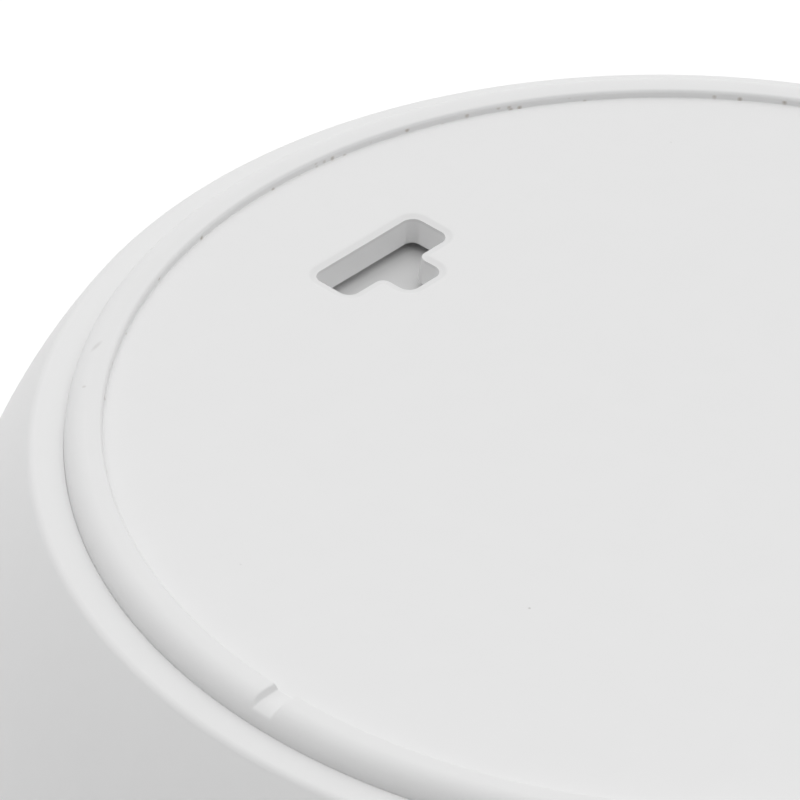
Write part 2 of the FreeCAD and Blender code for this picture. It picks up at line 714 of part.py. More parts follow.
# Circuit board and what stands on it
def circuit_board():
    body = new_body("circuit_board_body")
    plate = outline(new_sketch(body, "board_outline", "XY_Plane", "board_height"), octagon(BOARD_EDGE))
    feature(body, "Pad", "board_plate", plate, Length="board_wall")
    slots = new_sketch(body, "board_slot_outlines", "XY_Plane", BOARD_TOP_Z)
    middle = "(finger_width + finger_slot) / 2"
    for side in ("", "-"):
        outline(slots, rectangle("finger_slot", "2 * finger_length", f"{side}{middle}", f"-{BOARD_EDGE}"))
    for x, y in screw_places():
        circle(slots, x, y, "screw_radius + screw_clearance")
    for side in ("", "-"):
        outline(slots, leg_hole(side))
    feature(body, "Pocket", "board_holes", slots, Length="board_wall")
    return piece("circuit_board", body)


def display_driver_chip():
    size = ("driver_size", "driver_size", "driver_wall")
    return piece("display_driver_chip", centred_box("driver_box", ("-driver_offset", "0", PARTS_Z), size))


def radio_module():
    board_size = ("radio_width", "radio_length", "radio_wall")
    can_size = ("shield_width", "shield_length", "shield_height")
    piece("radio_board", centred_box("radio_box", ("0", RADIO_Y, PARTS_Z), board_size))
    piece("radio_shield", centred_box("shield_box", ("0", RADIO_Y, f"{PARTS_Z} + radio_wall"), can_size))


def crystal_can():
    start = ("crystal_offset - crystal_length / 2", "0", f"{PARTS_Z} + crystal_radius")
    axis = FreeCAD.Vector(0, 1, 0)
    tube = lying_cylinder("crystal_tube", "crystal_radius", "crystal_length", start, axis, 90)
    return piece("crystal_can", tube)


def chip_capacitors():
    chips = []
    for n in range(int(number("chip_count"))):
        low = ("crystal_offset + crystal_length", f"({n} - (chip_count - 1) / 2) * chip_spacing", PARTS_Z)
        chips.append(centred_box(f"chip{n}", low, ("chip_length", "chip_width", "chip_height")))
    return piece("chip_capacitors", fuse("chips", chips))


def humidity_sensor_chip():
    low = ("0", f"-{BOARD_EDGE} + sensor_inset", PARTS_Z)
    size = ("sensor_size", "sensor_size", "sensor_height")
    return piece("humidity_sensor_chip", centred_box("sensor_box", low, size))


def storage_capacitor():
    base = (WELL_X, CAPACITOR_Y, PARTS_Z)
    can = cylinder("capacitor_tube", "capacitor_radius", "capacitor_height", base)
    return piece("storage_capacitor", can)


# Screws
def housing_screws():
    screws = []
    for n, (x, y) in enumerate(screw_places()):
        seat, tip = "screw_seat_height", "(board_height - screw_depth)"
        screws.append(cylinder(f"screw_head{n}", "screw_head_radius", "screw_head_height", (x, y, seat)))
        screws.append(cylinder(f"screw_shank{n}", "screw_radius", f"{seat} - {tip}", (x, y, tip)))
    return piece("housing_screws", fuse("screw_set", screws))


# Button and its switch
def button_cap():
    body = new_body("button_cap_body")
    flange_y = f"({INNER_RADIUS} - flange_gap)"
    shape = new_sketch(body, "button_outline_sketch", "XZ_Plane", f"-{flange_y}")
    outline(shape, rounded(button_outline("0"), "button_round"))
    reach = f"{BELLY_RADIUS} + 2 * button_proud - {flange_y}"
    feature(body, "Pad", "button_key", shape, reverse=True, Length=reach)
    flange = new_sketch(body, "button_flange_outline", "XZ_Plane", f"-{flange_y}")
    outline(flange, rounded(button_outline("flange_border"), "button_round + flange_border"))
    feature(body, "Pad", "button_flange", flange, Length="flange_wall")
    stem = new_sketch(body, "button_stem_circle", "XZ_Plane", f"-{PLUNGER_TIP_Y}")
    circle(stem, "0", BUTTON_Z, "stem_radius")
    stem_length = f"{flange_y} - flange_wall - {PLUNGER_TIP_Y}"
    feature(body, "Pad", "button_stem", stem, reverse=True, Length=stem_length)
    face = cylinder("button_face", f"{BELLY_RADIUS} + button_proud", OVERALL_Z, ("0", "0", "0"))
    return piece("button_cap", common("button_shape", body, face))


def side_switch():
    middle_y = f"({SWITCH_FRONT_Y} - switch_depth / 2)"
    low = ("0", middle_y, PARTS_Z)
    case = centred_box("switch_box", low, ("switch_width", "switch_depth", "switch_height - 2 * solder_gap"))
    bore = lying_cylinder("switch_bore", "plunger_radius + plunger_gap", "plunger_hidden + plunger_room",
                          ("0", SWITCH_FRONT_Y, BUTTON_Z), FreeCAD.Vector(1, 0, 0), 90)
    piece("switch_body", cut("switch_case", case, [bore]))
    pin = lying_cylinder("plunger_pin", "plunger_radius", "plunger_proud + plunger_hidden",
                         ("0", PLUNGER_TIP_Y, BUTTON_Z), FreeCAD.Vector(1, 0, 0), 90)
    piece("switch_plunger", pin)


# Cells and their contacts
def battery_cell(label, side):
    """A cell along X. Its positive end points to -X in the upper well and to +X in the lower one."""
    body = new_body(f"{label}_body")
    can, shoulder = "(cell_diameter / 2)", "(cell_length - nub_height)"
    profile = outline(new_sketch(body, f"{label}_profile", "XY_Plane"), [
        ("0", "0"),
        ("cell_length", "0"),
        ("cell_length", "nub_diameter / 2"),
        (shoulder, "nub_diameter / 2"),
        (shoulder, can),
        ("0", can),
    ])
    feature(body, "Revolution", f"{label}_can", profile, axis="H_Axis")
    turn(body, FreeCAD.Vector(0, 0, 1), 180 if side > 0 else 0)
    end = f"({WELL_X} - contact_wall - leaf_reach)"
    place(body, f"{side} * {end}", f"{side} * {CELL_Y}", CELL_Z)
    return piece(label, body)


def contact_plate(name, side_x, side_y):
    """A flat plate that stands against the end wall of a well."""
    x = f"{side_x} * ({WELL_X} - contact_wall / 2)"
    low = (x, f"{side_y} * {CELL_Y}", f"{CELL_Z} - contact_height / 2")
    return centred_box(name, low, ("contact_wall", "contact_width", "contact_height"))


def leaf_spring(name, side_x, side_y):
    """A bent leaf that presses on the flat end of a cell."""
    body = new_body(name)
    root = f"({WELL_X} - contact_wall)"
    half = "leaf_span / 2"
    tip = f"({root} - leaf_reach + leaf_gap)"
    low, high = f"{CELL_Z} - {half}", f"{CELL_Z} + {half}"
    sketch = new_sketch(body, f"{name}_profile", "XZ_Plane", f"-({side_y} * {CELL_Y} + leaf_width / 2)")
    outline(sketch, [
        (f"{side_x} * {root}", low),
        (f"{side_x} * {tip}", CELL_Z),
        (f"{side_x} * {root}", high),
        (f"{side_x} * {root}", f"{high} - 2 * leaf_wall"),
        (f"{side_x} * ({tip} + 1.5 * leaf_wall)", CELL_Z),
        (f"{side_x} * {root}", f"{low} + 2 * leaf_wall"),
    ])
    feature(body, "Pad", f"{name}_leaf", sketch, Length="leaf_width")
    return body


def dimple(name, side_x, side_y):
    """A round boss that the cell's nub presses on."""
    start = (f"{side_x} * ({WELL_X} - contact_wall)", f"{side_y} * {CELL_Y}", CELL_Z)
    axis = FreeCAD.Vector(0, 1, 0)
    return lying_cylinder(name, "dimple_radius", "dimple_height", start, axis, -90 * side_x)


def solder_leg(name, side_y):
    """A leg from the plate down through the board."""
    low_z = f"({BOARD_TOP_Z} - leg_reach)"
    low = (f"({WELL_X} - contact_wall / 2)", f"{side_y} * {CELL_Y}", low_z)
    return centred_box(name, low, ("contact_wall", "leg_width", f"{CELL_Z} - {low_z}"))


def contacts():
    strap_x = f"-({WELL_X} - contact_wall / 2)"
    piece("bridge_contact", fuse("bridge_set", [
        contact_plate("bridge_upper", -1, 1),
        contact_plate("bridge_lower", -1, -1),
        centred_box("bridge_strap", (strap_x, "0", CELL_Z), ("contact_wall", f"2 * {CELL_Y}", "strap_width")),
        leaf_spring("bridge_leaf", -1, -1),
        dimple("bridge_dimple", -1, 1),
    ]))
    piece("negative_contact", fuse("negative_set", [
        contact_plate("negative_plate", 1, 1),
        leaf_spring("negative_leaf", 1, 1),
        solder_leg("negative_leg", 1),
    ]))
    piece("positive_contact", fuse("positive_set", [
        contact_plate("positive_plate", 1, -1),
        dimple("positive_dimple", 1, -1),
        solder_leg("positive_leg", -1),
    ]))


def build():
    front_bezel()
    rear_housing()
    back_cover()
    display_window()
    window_adhesive()
    film_width, inset = f"({GLASS_WIDTH} - 2 * film_inset)", "2 * film_inset"
    display_sheet("lcd_front_polariser", FRONT_FILM_Z, "film_wall", film_width, f"{GLASS_HEIGHT} - {inset}")
    display_sheet("lcd_front_glass", FRONT_GLASS_Z, "glass_wall", GLASS_WIDTH, GLASS_HEIGHT)
    display_sheet("lcd_rear_glass", REAR_GLASS_Z, "glass_wall", GLASS_WIDTH, "rear_glass_height")
    display_sheet("lcd_rear_polariser", REAR_FILM_Z, "film_wall", film_width, f"rear_glass_height - {inset}")
    lcd_holder()
    zebra_strips()
    circuit_board()
    display_driver_chip()
    radio_module()
    crystal_can()
    chip_capacitors()
    humidity_sensor_chip()
    storage_capacitor()
    housing_screws()
    side_switch()
    button_cap()
    battery_cell("battery_cell_upper", 1)
    battery_cell("battery_cell_lower", -1)
    contacts()
    document.recompute()


def check():
    """Stops before anything is written if an object failed or a piece isn't sound."""
    for item in document.Objects:
        if "Invalid" in item.State or "Error" in item.State:
            raise RuntimeError(f"{item.Name} failed: {item.State}")
    for item in PIECES:
        if item.Shape.isNull() or not item.Shape.isValid() or not item.Shape.Solids:
            raise RuntimeError(f"{item.Label} isn't sound")


def write():
    os.makedirs("parts", exist_ok=True)
    for item in PIECES:
        item.Shape.exportStep(f"parts/{item.Label}.step")
        print(item.Label, "solids", len(item.Shape.Solids), "volume", round(item.Shape.Volume, 3))


build()
check()
write()
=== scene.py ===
import math

import bmesh
import bpy
from mathutils import Matrix, Vector
from mathutils.geometry import tessellate_polygon


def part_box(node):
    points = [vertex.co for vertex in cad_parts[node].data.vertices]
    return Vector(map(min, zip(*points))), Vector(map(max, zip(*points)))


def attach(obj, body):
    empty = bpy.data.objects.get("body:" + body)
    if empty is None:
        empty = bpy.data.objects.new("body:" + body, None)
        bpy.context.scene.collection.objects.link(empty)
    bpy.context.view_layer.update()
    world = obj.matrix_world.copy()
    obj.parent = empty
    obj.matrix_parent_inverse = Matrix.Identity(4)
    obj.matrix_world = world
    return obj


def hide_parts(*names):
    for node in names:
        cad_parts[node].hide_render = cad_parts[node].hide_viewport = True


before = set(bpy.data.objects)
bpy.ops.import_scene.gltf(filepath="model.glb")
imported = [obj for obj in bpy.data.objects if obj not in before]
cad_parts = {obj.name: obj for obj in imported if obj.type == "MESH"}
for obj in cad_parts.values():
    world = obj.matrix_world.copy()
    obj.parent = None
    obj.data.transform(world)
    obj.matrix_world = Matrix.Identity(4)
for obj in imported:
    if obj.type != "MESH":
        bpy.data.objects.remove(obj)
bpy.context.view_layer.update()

MM = 0.001


# Sizes read from the frame
def low_high(node):
    """A node's lowest and highest corner in millimetres."""
    low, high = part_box(node)
    return [value / MM for value in low], [value / MM for value in high]


COVER_LOW, COVER_HIGH = low_high("back_cover")
HOUSING_LOW, HOUSING_HIGH = low_high("rear_housing")
BOARD_LOW, BOARD_HIGH = low_high("circuit_board")
BUTTON_LOW, BUTTON_HIGH = low_high("button_cap")
DRIVER_LOW, DRIVER_HIGH = low_high("display_driver_chip")
BEZEL_HIGH = low_high("front_bezel")[1]
PLUNGER_HIGH = low_high("switch_plunger")[1]
WINDOW_HIGH = low_high("display_window")[1]
SCREWS_HIGH = low_high("housing_screws")[1]
GLASS_HIGH = low_high("lcd_front_glass")[1]
FILM_LOW = low_high("lcd_front_polariser")[0]

# Steps round a whole turn
SHELL_TURNS = 288
CELL_TURNS = 72
SCREW_TURNS = 48
POST_TURNS = 40
SMALL_TURNS = 32

# Cover: its disc, ring and skirt
RING_RADIUS = COVER_HIGH[0]
RING_TOP = COVER_HIGH[2]
RING_STEP = 0.46
RING_ROUND = 1.06
RING_LIP = 0.2
RING_FOOT = 0.06
DISC_RADIUS = 30.0
DISC_Z = RING_TOP - RING_STEP
PLATE_THICK = 1.31
PLATE_Z = DISC_Z - PLATE_THICK
PLATE_ROUND = 0.3
SKIRT_Z = COVER_LOW[2]
SKIRT_WALL = 1.2
SKIRT_ROUND = 0.15

# Cover: the notch, and how its floor falls at the shoulder and at its end
NOTCH_WIDTH = 1.25
NOTCH_FLOOR = 0.13
NOTCH_SOFT = 0.12
NOTCH_ANGLE = -0.55
NOTCH_FALL, NOTCH_FALL_LONG = 0.36, 0.9
NOTCH_END, NOTCH_END_LONG = 7.0, 0.19

# Cover: the snap beads
BEAD_PROUD = 0.01
BEAD_Z = RING_TOP - 3.6
BEAD_HALF = 0.4
BEAD_SPAN = 24.0
BEAD_FADE = 1.5

# T slot: a bar across, and a stub towards the middle of the cover
SLOT_HALF = 3.81
SLOT_STUB_HALF = 1.325
SLOT_ASIDE = -0.06
SLOT_OUTER = -23.36
SLOT_INNER = -20.675
SLOT_TIP = -18.825
SLOT_ROUND = 0.65
SLOT_INNER_ROUND = 0.5
# The slot's edge as pairs of distance out and drop: a soft sink, a tight edge and a wall
SLOT_LIP = [
    (0.5, 0.0), (0.42, 0.006), (0.34, 0.02), (0.26, 0.04), (0.18, 0.062), (0.1, 0.078), (0.055, 0.083),
    (0.03, 0.09), (0.01, 0.091), (0.003, 0.094), (0.0, 0.105),
]
# The low collar under the plate, as pairs of distance out and height
COLLAR = 0.18
SLOT_FOOT = [(-0.16, 0.04), (-0.148, 0.012), (-0.12, 0.0), (0.35, 0.0), (0.35, COLLAR)]

# Housing
BELLY_RADIUS = HOUSING_HIGH[0]
BELLY_Z = HOUSING_LOW[2]
RIM_Z = HOUSING_HIGH[2]
RIM_WIDTH = 1.63
RIM_ROUND = 0.5
BORE_RADIUS = RING_RADIUS + 0.12
LIP_RADIUS = RING_RADIUS + 0.006
LIP_ROUND = 0.03
LIP_DEPTH = 0.6
REAR_RADIUS = BORE_RADIUS + RIM_WIDTH
CHANNEL_Z = SKIRT_Z - 0.1
CHANNEL_RADIUS = RING_RADIUS - SKIRT_WALL - 0.3
BACK_WALL = 1.3
BACK_Z = PLATE_Z - 0.7
HOUSING_WALL = 1.8
INNER_RADIUS = BELLY_RADIUS - HOUSING_WALL
SIDE_DROP = BELLY_RADIUS - REAR_RADIUS
SIDE_ARC = (SIDE_DROP**2 + (RIM_Z - BELLY_Z) ** 2) / (2 * SIDE_DROP)
SIDE_CENTRE = BELLY_RADIUS - SIDE_ARC

# Wells for the cells
CELL_RADIUS = 5.25
CELL_Y = 5.6
CELL_START = 20.4
BAND_X = (-14.0, -13.9)
TROUGH_RADIUS = 5.45
TROUGH_RIDGE = 1.3
WELL_WALL = 1.2
WELL_X = 24.8
WELL_Y = CELL_Y + TROUGH_RADIUS
WELL_UNDER_Z = BOARD_HIGH[2] + 2.73
CELL_Z = WELL_UNDER_Z + WELL_WALL + TROUGH_RADIUS
LEAF_HALF = 1.0
LEAF_DEEP = 0.8

# Screws, their bosses and their posts
HEAD_RADIUS = 2.0
HEAD_CROWN = 0.8
HEAD_SIDE = 0.6
SHANK_RADIUS = 0.62
THREAD_RADIUS = 0.8
THREAD_PITCH = 0.5
THREAD_STEP = 0.22
SCREW_BITE = 2.6
SCREW_SEAT = 12.0
SCREW_X = SCREWS_HIGH[0] - HEAD_RADIUS
SCREW_Y = SCREWS_HIGH[1] - HEAD_RADIUS
SCREW_PLACES = [(SCREW_X, SCREW_Y), (-SCREW_X, -SCREW_Y)]
SINK_RADIUS = 2.35
BOSS_RADIUS = 3.4
BOSS_HOLE = 1.15
POST_RADIUS = 2.4
POST_HOLE = 0.85
POST_HOLE_DEEP = 2.65
# The cross recess: half length, half width and height above the head's seat
RECESS = ((0.25, 0.12, 0.5), (1.05, 0.26, 1.45), (1.1, 0.28, 2.0))
RECESS_TURNS = (20, 110)

# Vents, and how far in and out the cutters of the side wall reach
VENT_COUNT = 5
VENT_STEP = 6.0
VENT_WIDTH = 1.2
VENT_LOW, VENT_HIGH = 9.0, 13.0
WALL_REACH = (34.0, 41.0)

# Bezel
WINDOW_GAP = 0.25
WINDOW_TAPE = 0.3
POCKET_ROUND = 0.15
SEAM = 0.25
SEAM_ROUND = 0.12
LAP_RADIUS = INNER_RADIUS - 0.2
LAP_WALL = 1.0
BEZEL_SEAT = WINDOW_HIGH[2] + WINDOW_TAPE
BEZEL_BACK = BEZEL_SEAT + 1.3
GLASS_GAP = 0.3

# Button
BUTTON_Z = (BUTTON_LOW[2] + BUTTON_HIGH[2]) / 2
BUTTON_HALF_X = 4.5
BUTTON_HALF_Z = 1.8
BUTTON_ROUND = 1.75
BUTTON_GAP = 0.2
BUTTON_EDGE = 0.35
BUTTON_CROWN = 0.06
FACE_INSETS = (0.6, 0.9, 1.2, 1.5, 1.7499)
FLANGE_Y = INNER_RADIUS - 1.7
# The flange's rings as pairs of depth and distance out
FLANGE = ((0.8, 0.7), (0.7, 0.8), (0.0, 0.8), (0.0, 0.0))
STEM = [(0, 0), (1.2, 0), (1.3, 0.1), (1.3, 1.9), (0, 1.9)]

# Display: the ink, the digits and the window's print
INK_HIGH = FILM_LOW[2] - 0.02
INK_LOW = INK_HIGH - 0.03
DIGIT_WIDTH, DIGIT_GAP = 0.56, 0.12
# Rows of digits: middle, height, stroke, and each digit with its place across
DIGIT_ROWS = (
    (4.2, 11.0, 1.5, (("2", -12.5), ("4", -3.6), ("6", 6.2))),
    (-7.4, 6.0, 0.95, (("4", -4.4), ("8", 0.8))),
)
POINT_X, POINT_Y, POINT_HALF = 1.4, -0.9, 0.5
PER_CENT_BAR, PER_CENT_STROKE = ((5.2, -9.8), (8.4, -5.0)), 0.6
# The degree sign and the per cent sign's rings: place, outer and inner radius
RING_SIGNS = ((12.6, 8.6, 1.3, 0.8), (5.2, -5.6, 0.85, 0.5), (8.4, -9.2, 0.85, 0.5))
SEGMENTS = {
    "a": ((-0.5, 1), (0.5, 1)), "b": ((0.5, 1), (0.5, 0)), "c": ((0.5, 0), (0.5, -1)),
    "d": ((-0.5, -1), (0.5, -1)), "e": ((-0.5, 0), (-0.5, -1)), "f": ((-0.5, 1), (-0.5, 0)),
    "g": ((-0.5, 0), (0.5, 0)),
}
DIGITS = {"2": "abged", "4": "fgbc", "6": "afgedc", "8": "abcdefg"}
PRINT_THICK = 0.02
PRINT_Z = WINDOW_HIGH[2] - 0.03
OPENING_X, OPENING_Y, OPENING_ROUND = 20.5, 13.0, 2.0

# The driver's pins and the solder on the contacts' legs
PIN_COUNT = 12
PIN_FIRST = -4.4
PIN_PITCH = 0.8
PIN_HALF = 0.17
# A pin's section as pairs of distance from the driver and height above the board
PIN_SECTION = [
    (-0.1, 0.75), (0.3, 0.75), (0.5, 0.2), (1.0, 0.2), (1.0, 0.05), (0.4, 0.05), (0.2, 0.6), (-0.1, 0.6),
]
# A solder lump's section as pairs of radius and drop under the board
SOLDER = [(0.0, 0.3), (0.5, 0.32), (0.8, 0.2), (1.3, 0.02), (1.3, 0.0), (0.0, 0.0)]

# Floor in metres, light, and camera with its angles in degrees
FLOOR_HALF = 2.0
FLOOR_Z = -0.0001
FLOOR_GLOW = 0.2
SKY_LEVEL = 0.485
SKY_SLOPE = (-0.32, -0.255, 0.0)
SKY_SIDE = 0.2
SKY_TOP = 1.74
SKY_LOBE = 3.0
CAMERA_TILT = 126.14
CAMERA_ROLL = 2.05
CAMERA_HEADING = 131.6
# The shift from the lens to the disc's middle, in radii of the disc
CAMERA_SHIFT = (0.5048, 0.0604, 14.9742)
CAMERA_LENS = 405.0
CAMERA_SENSOR = 36.0


# Outlines and profiles
def arc(across, up, radius, first, last, steps):
    """Points on an arc round a centre, with its angles in degrees."""
    angles = [math.radians(first + (last - first) * n / steps) for n in range(steps + 1)]
    return [(across + radius * math.cos(a), up + radius * math.sin(a)) for a in angles]


def rounded_loop(corners, outer, inner, offset=0.0):
    """A closed outline with rounded corners, moved outwards. The corners go round to the left."""
    steps, least = 8, 0.02
    points = []
    for n, corner in enumerate(corners):
        here = Vector(corner)
        into = (here - Vector(corners[n - 1])).normalized()
        out = (Vector(corners[(n + 1) % len(corners)]) - here).normalized()
        left = into.x * out.y - into.y * out.x > 0
        radius = outer if left else max(inner, offset + least)
        middle = here - into * radius + out * radius
        turned = (here - into * radius) - middle
        swept = math.pi / 2 if left else -math.pi / 2
        size = radius + offset if left else radius - offset
        for step in range(steps + 1):
            spoke = turned.normalized()
            spoke.rotate(Matrix.Rotation(swept * step / steps, 2))
            point = middle + spoke * size
            points.append((point.x, point.y))
    return points


def rectangle(half_x, half_y):
    """The corners of a rectangle round the middle."""
    return [(-half_x, -half_y), (half_x, -half_y), (half_x, half_y), (-half_x, half_y)]


# Solids as points and faces
def lathe(profile, turns=SHELL_TURNS, middle=(0.0, 0.0)):
    """Points and faces of a closed profile turned round an upright axis."""
    points = []
    for n in range(turns):
        angle = 2 * math.pi * n / turns
        cos, sin = math.cos(angle), math.sin(angle)
        points += [(middle[0] + r * cos, middle[1] + r * sin, z) for r, z in profile]
    count = len(profile)
    faces = []
    for n in range(turns):
        here, there = n * count, (n + 1) % turns * count
        for k in range(count):
            after = (k + 1) % count
            faces.append((here + k, there + k, there + after, here + after))
    return points, faces


def stack(rings, closed=True):
    """Points and faces of equal rings, one on the next, with flat ends where closed."""
    points = [point for ring in rings for point in ring]
    count = len(rings[0])
    faces = []
    for n in range(len(rings) - 1):
        here, there = n * count, (n + 1) * count
        for k in range(count):
            after = (k + 1) % count
            faces.append((here + k, here + after, there + after, there + k))
    if closed:
        faces.append(tuple(reversed(range(count))))
        faces.append(tuple((len(rings) - 1) * count + k for k in range(count)))
    return points, faces


def slab(outline, low, high, closed=True):
    """Points and faces of an outline carried up from one height to another."""
    return stack([[(x, y, z) for x, y in outline] for z in (low, high)], closed)


def holed_plate(outer, inner, z):
    """A flat face between two loops."""
    loops = [[Vector((x, y, z)) for x, y in outer], [Vector((x, y, z)) for x, y in inner]]
    points = [tuple(point) for loop in loops for point in loop]
    return points, [tuple(face) for face in tessellate_polygon(loops)]


def joined(*parts):
    """Several sets of points and faces as one."""
    points, faces = [], []
    for some_points, some_faces in parts:
        start = len(points)
        points += some_points
        faces += [tuple(start + k for k in face) for face in some_faces]
    return points, faces


def moved(part, matrix):
    """Points and faces moved by a matrix."""
    points, faces = part
    return [tuple(matrix @ Vector(point)) for point in points], faces


def turned_about_z(degrees):
    """A turn round the upright axis."""
    return Matrix.Rotation(math.radians(degrees), 4, "Z")


# Objects
def make_object(name, part):
    """An object from points in millimetres and faces."""
    points, faces = part
    mesh = bpy.data.meshes.new(name)
    mesh.from_pydata([(x * MM, y * MM, z * MM) for x, y, z in points], [], faces)
    cleaned = bmesh.new()
    cleaned.from_mesh(mesh)
    bmesh.ops.remove_doubles(cleaned, verts=cleaned.verts, dist=1e-7)
    bmesh.ops.recalc_face_normals(cleaned, faces=cleaned.faces)
    cleaned.to_mesh(mesh)
    cleaned.free()
    item = bpy.data.objects.new(name, mesh)
    bpy.context.scene.collection.objects.link(item)
    return item


def settle(item):
    """Puts an object's modifiers into its mesh."""
    ready = item.evaluated_get(bpy.context.evaluated_depsgraph_get())
    mesh = bpy.data.meshes.new_from_object(ready)
    item.modifiers.clear()
    item.data = mesh


def carve(item, cutter_part):
    """Takes a closed shape away from an object for good."""
    cutter = make_object("cutter", cutter_part)
    step = item.modifiers.new("carve", "BOOLEAN")
    step.operation = "DIFFERENCE"
    step.solver = "EXACT"
    step.object = cutter
    settle(item)
    bpy.data.objects.remove(cutter)


def finish_piece(item, look, body, replaced=()):
    """Smooths an object, gives it its look and lets it ride on its body."""
    sharp = math.radians(32.0)
    item.data.materials.clear()
    item.data.materials.append(look.material)
    item.data.shade_smooth()
    item.data.set_sharp_from_angle(angle=sharp)
    item.modifiers.new("even", "WEIGHTED_NORMAL").keep_sharp = True
    settle(item)
    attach(item, body)
    if replaced:
        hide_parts(*replaced)


# Materials and their nodes
def computed(tree, operation, *values):
    """The result of a sum in a node tree, on numbers or sockets."""
    node = tree.nodes.new("ShaderNodeMath")
    node.operation = operation
    for socket, value in zip(node.inputs, values):
        if isinstance(value, bpy.types.NodeSocket):
            tree.links.new(value, socket)
        else:
            socket.default_value = value
    return node.outputs[0]


def parts_of(tree, vector):
    """The X, Y and Z of a vector in a node tree."""
    node = tree.nodes.new("ShaderNodeSeparateXYZ")
    tree.links.new(vector, node.inputs[0])
    return node.outputs["X"], node.outputs["Y"], node.outputs["Z"]


class Nodes:
    """A material's nodes, added and linked by name."""

    def __init__(self, name):
        self.material = bpy.data.materials.new(name)
        self.material.use_nodes = True
        self.tree = self.material.node_tree
        self.shader = self.tree.nodes["Principled BSDF"]
        self.place = self.add("ShaderNodeTexCoord").outputs["Object"]

    def add(self, kind, **values):
        """A new node with some of its settings or inputs set."""
        node = self.tree.nodes.new(kind)
        for key, value in values.items():
            if hasattr(node, key):
                setattr(node, key, value)
            else:
                node.inputs[key.replace("_", " ")].default_value = value
        return node

    def link(self, start, finish):
        self.tree.links.new(start, finish)

    def texture(self, kind, **values):
        """A texture or a mapping of the place on the object."""
        node = self.add(kind, **values)
        self.link(self.place, node.inputs["Vector"])
        return node

    def noise(self, scale):
        """Noise over the object, between 0 and 1."""
        return self.texture("ShaderNodeTexNoise", Scale=scale, Detail=3.0, Roughness=0.55).outputs["Fac"]

    def between(self, value, low, high, first=0.3, last=0.7):
        """A value turned from the range first to last into the range low to high."""
        node = self.add("ShaderNodeMapRange")
        self.link(value, node.inputs["Value"])
        for key, number in (("From Min", first), ("From Max", last), ("To Min", low), ("To Max", high)):
            node.inputs[key].default_value = number
        return node.outputs["Result"]

    def under(self, value, full, gone):
        """1 under a measure in millimetres, and 0 past the next."""
        return self.between(value, 1.0, 0.0, full * MM, gone * MM)

    def over(self, value, gone, full):
        """0 under a measure in millimetres, and 1 past the next."""
        return self.between(value, 0.0, 1.0, gone * MM, full * MM)

    def blend(self, factor, first, second):
        """A colour between two colours or sockets, the mix node's inputs 6 and 7."""
        node = self.add("ShaderNodeMix", data_type="RGBA")
        self.link(factor, node.inputs["Factor"])
        for key, colour in ((6, first), (7, second)):
            if isinstance(colour, bpy.types.NodeSocket):
                self.link(colour, node.inputs[key])
            else:
                node.inputs[key].default_value = (*colour, 1.0)
        return node.outputs[2]

    def product(self, first, *others):
        """Several values multiplied together."""
        for other in others:
            first = computed(self.tree, "MULTIPLY", first, other)
        return first

    def paint(self, colour, *masks):
        """Another colour over the one so far, where every mask is 1."""
        base = self.shader.inputs["Base Color"].links[0].from_socket
        self.link(self.blend(self.product(*masks), base, colour), self.shader.inputs["Base Color"])

    def parts(self):
        """The X, Y and Z of the place on the object."""
        return parts_of(self.tree, self.place)

    def bump(self, height, strength, distance):
        """A bump on the shader's normal, its distance in millimetres."""
        node = self.add("ShaderNodeBump", Strength=strength, Distance=distance * MM)
        self.link(height, node.inputs["Height"])
        self.link(node.outputs["Normal"], self.shader.inputs["Normal"])

    def set(self, **values):
        """The shader's own inputs."""
        for key, value in values.items():
            self.shader.inputs[key.replace("_", " ")].default_value = value


def tinted(colour, share):
    """The colour, lighter or darker by a share."""
    return tuple(min(max(part * share, 0.0), 1.0) for part in colour)


def grained(name, colour, roughness, metallic=0.0, grain=2500.0, relief=0.01, shade=0.03, specular=0.5):
    """A material with a fine grain in its colour, its gloss and, with some relief, its surface."""
    nodes = Nodes(name)
    fine = nodes.noise(grain)
    broad = nodes.noise(grain / 12)
    base = nodes.blend(nodes.between(broad, 0.0, 1.0), tinted(colour, 1 - shade), tinted(colour, 1 + shade))
    nodes.link(base, nodes.shader.inputs["Base Color"])
    gloss = nodes.between(fine, roughness - 0.04, roughness + 0.04)
    nodes.link(gloss, nodes.shader.inputs["Roughness"])
    if relief:
        nodes.bump(fine, 0.35, relief)
    nodes.set(Metallic=metallic, Specular_IOR_Level=specular)
    return nodes


def metal(name, colour, roughness):
    """Drawn or plated sheet with faint lines along one way."""
    nodes = grained(name, colour, roughness, metallic=1.0, grain=3000.0, relief=0.0, shade=0.06)
    wave = nodes.texture("ShaderNodeTexWave", Scale=900.0, Distortion=6.0, Detail=3.0)
    nodes.bump(wave.outputs["Fac"], 0.15, 0.004)
    return nodes


# Materials of the cover and the housing
WHITE = (0.84, 0.84, 0.84)
DUST = (0.62, 0.61, 0.6)
DIRT = (0.58, 0.54, 0.5)
# Painted shade on the housing's back wall under the slot
SLOT_FLOOR_SHADE = (0.64, 0.64, 0.64)
# Shares of the white: painted light on the slot's walls and in the ring's corner, and painted shade in the
# sink round the slot
PAINTED_LIGHT = 1.07
SINK_PAINTED_SHADE = 0.945
# Where the painted shade on the back wall fades: at both sides, its far end and its near end
SHADE_SIDE = (3.4, 5.2)
SHADE_FAR = (-23.8, -22.9)
SHADE_NEAR = (-19.1, -17.5)
# Two faint marks on the ring: middle, half sizes, turn in degrees and colour
RING_MARKS = [
    ((16.4, -26.33, RING_TOP - 0.02), (0.62, 0.16, 0.2), 12.0, (0.73, 0.725, 0.72)),
    ((19.3, -24.35, RING_TOP - 0.03), (0.14, 0.14, 0.2), 0.0, (0.72, 0.71, 0.7)),
]


def case_plastic(name, colour=WHITE):
    """Fine satin moulded plastic."""
    return grained(name, colour, 0.45, grain=5000.0, relief=0.004, shade=0.004, specular=0.45)


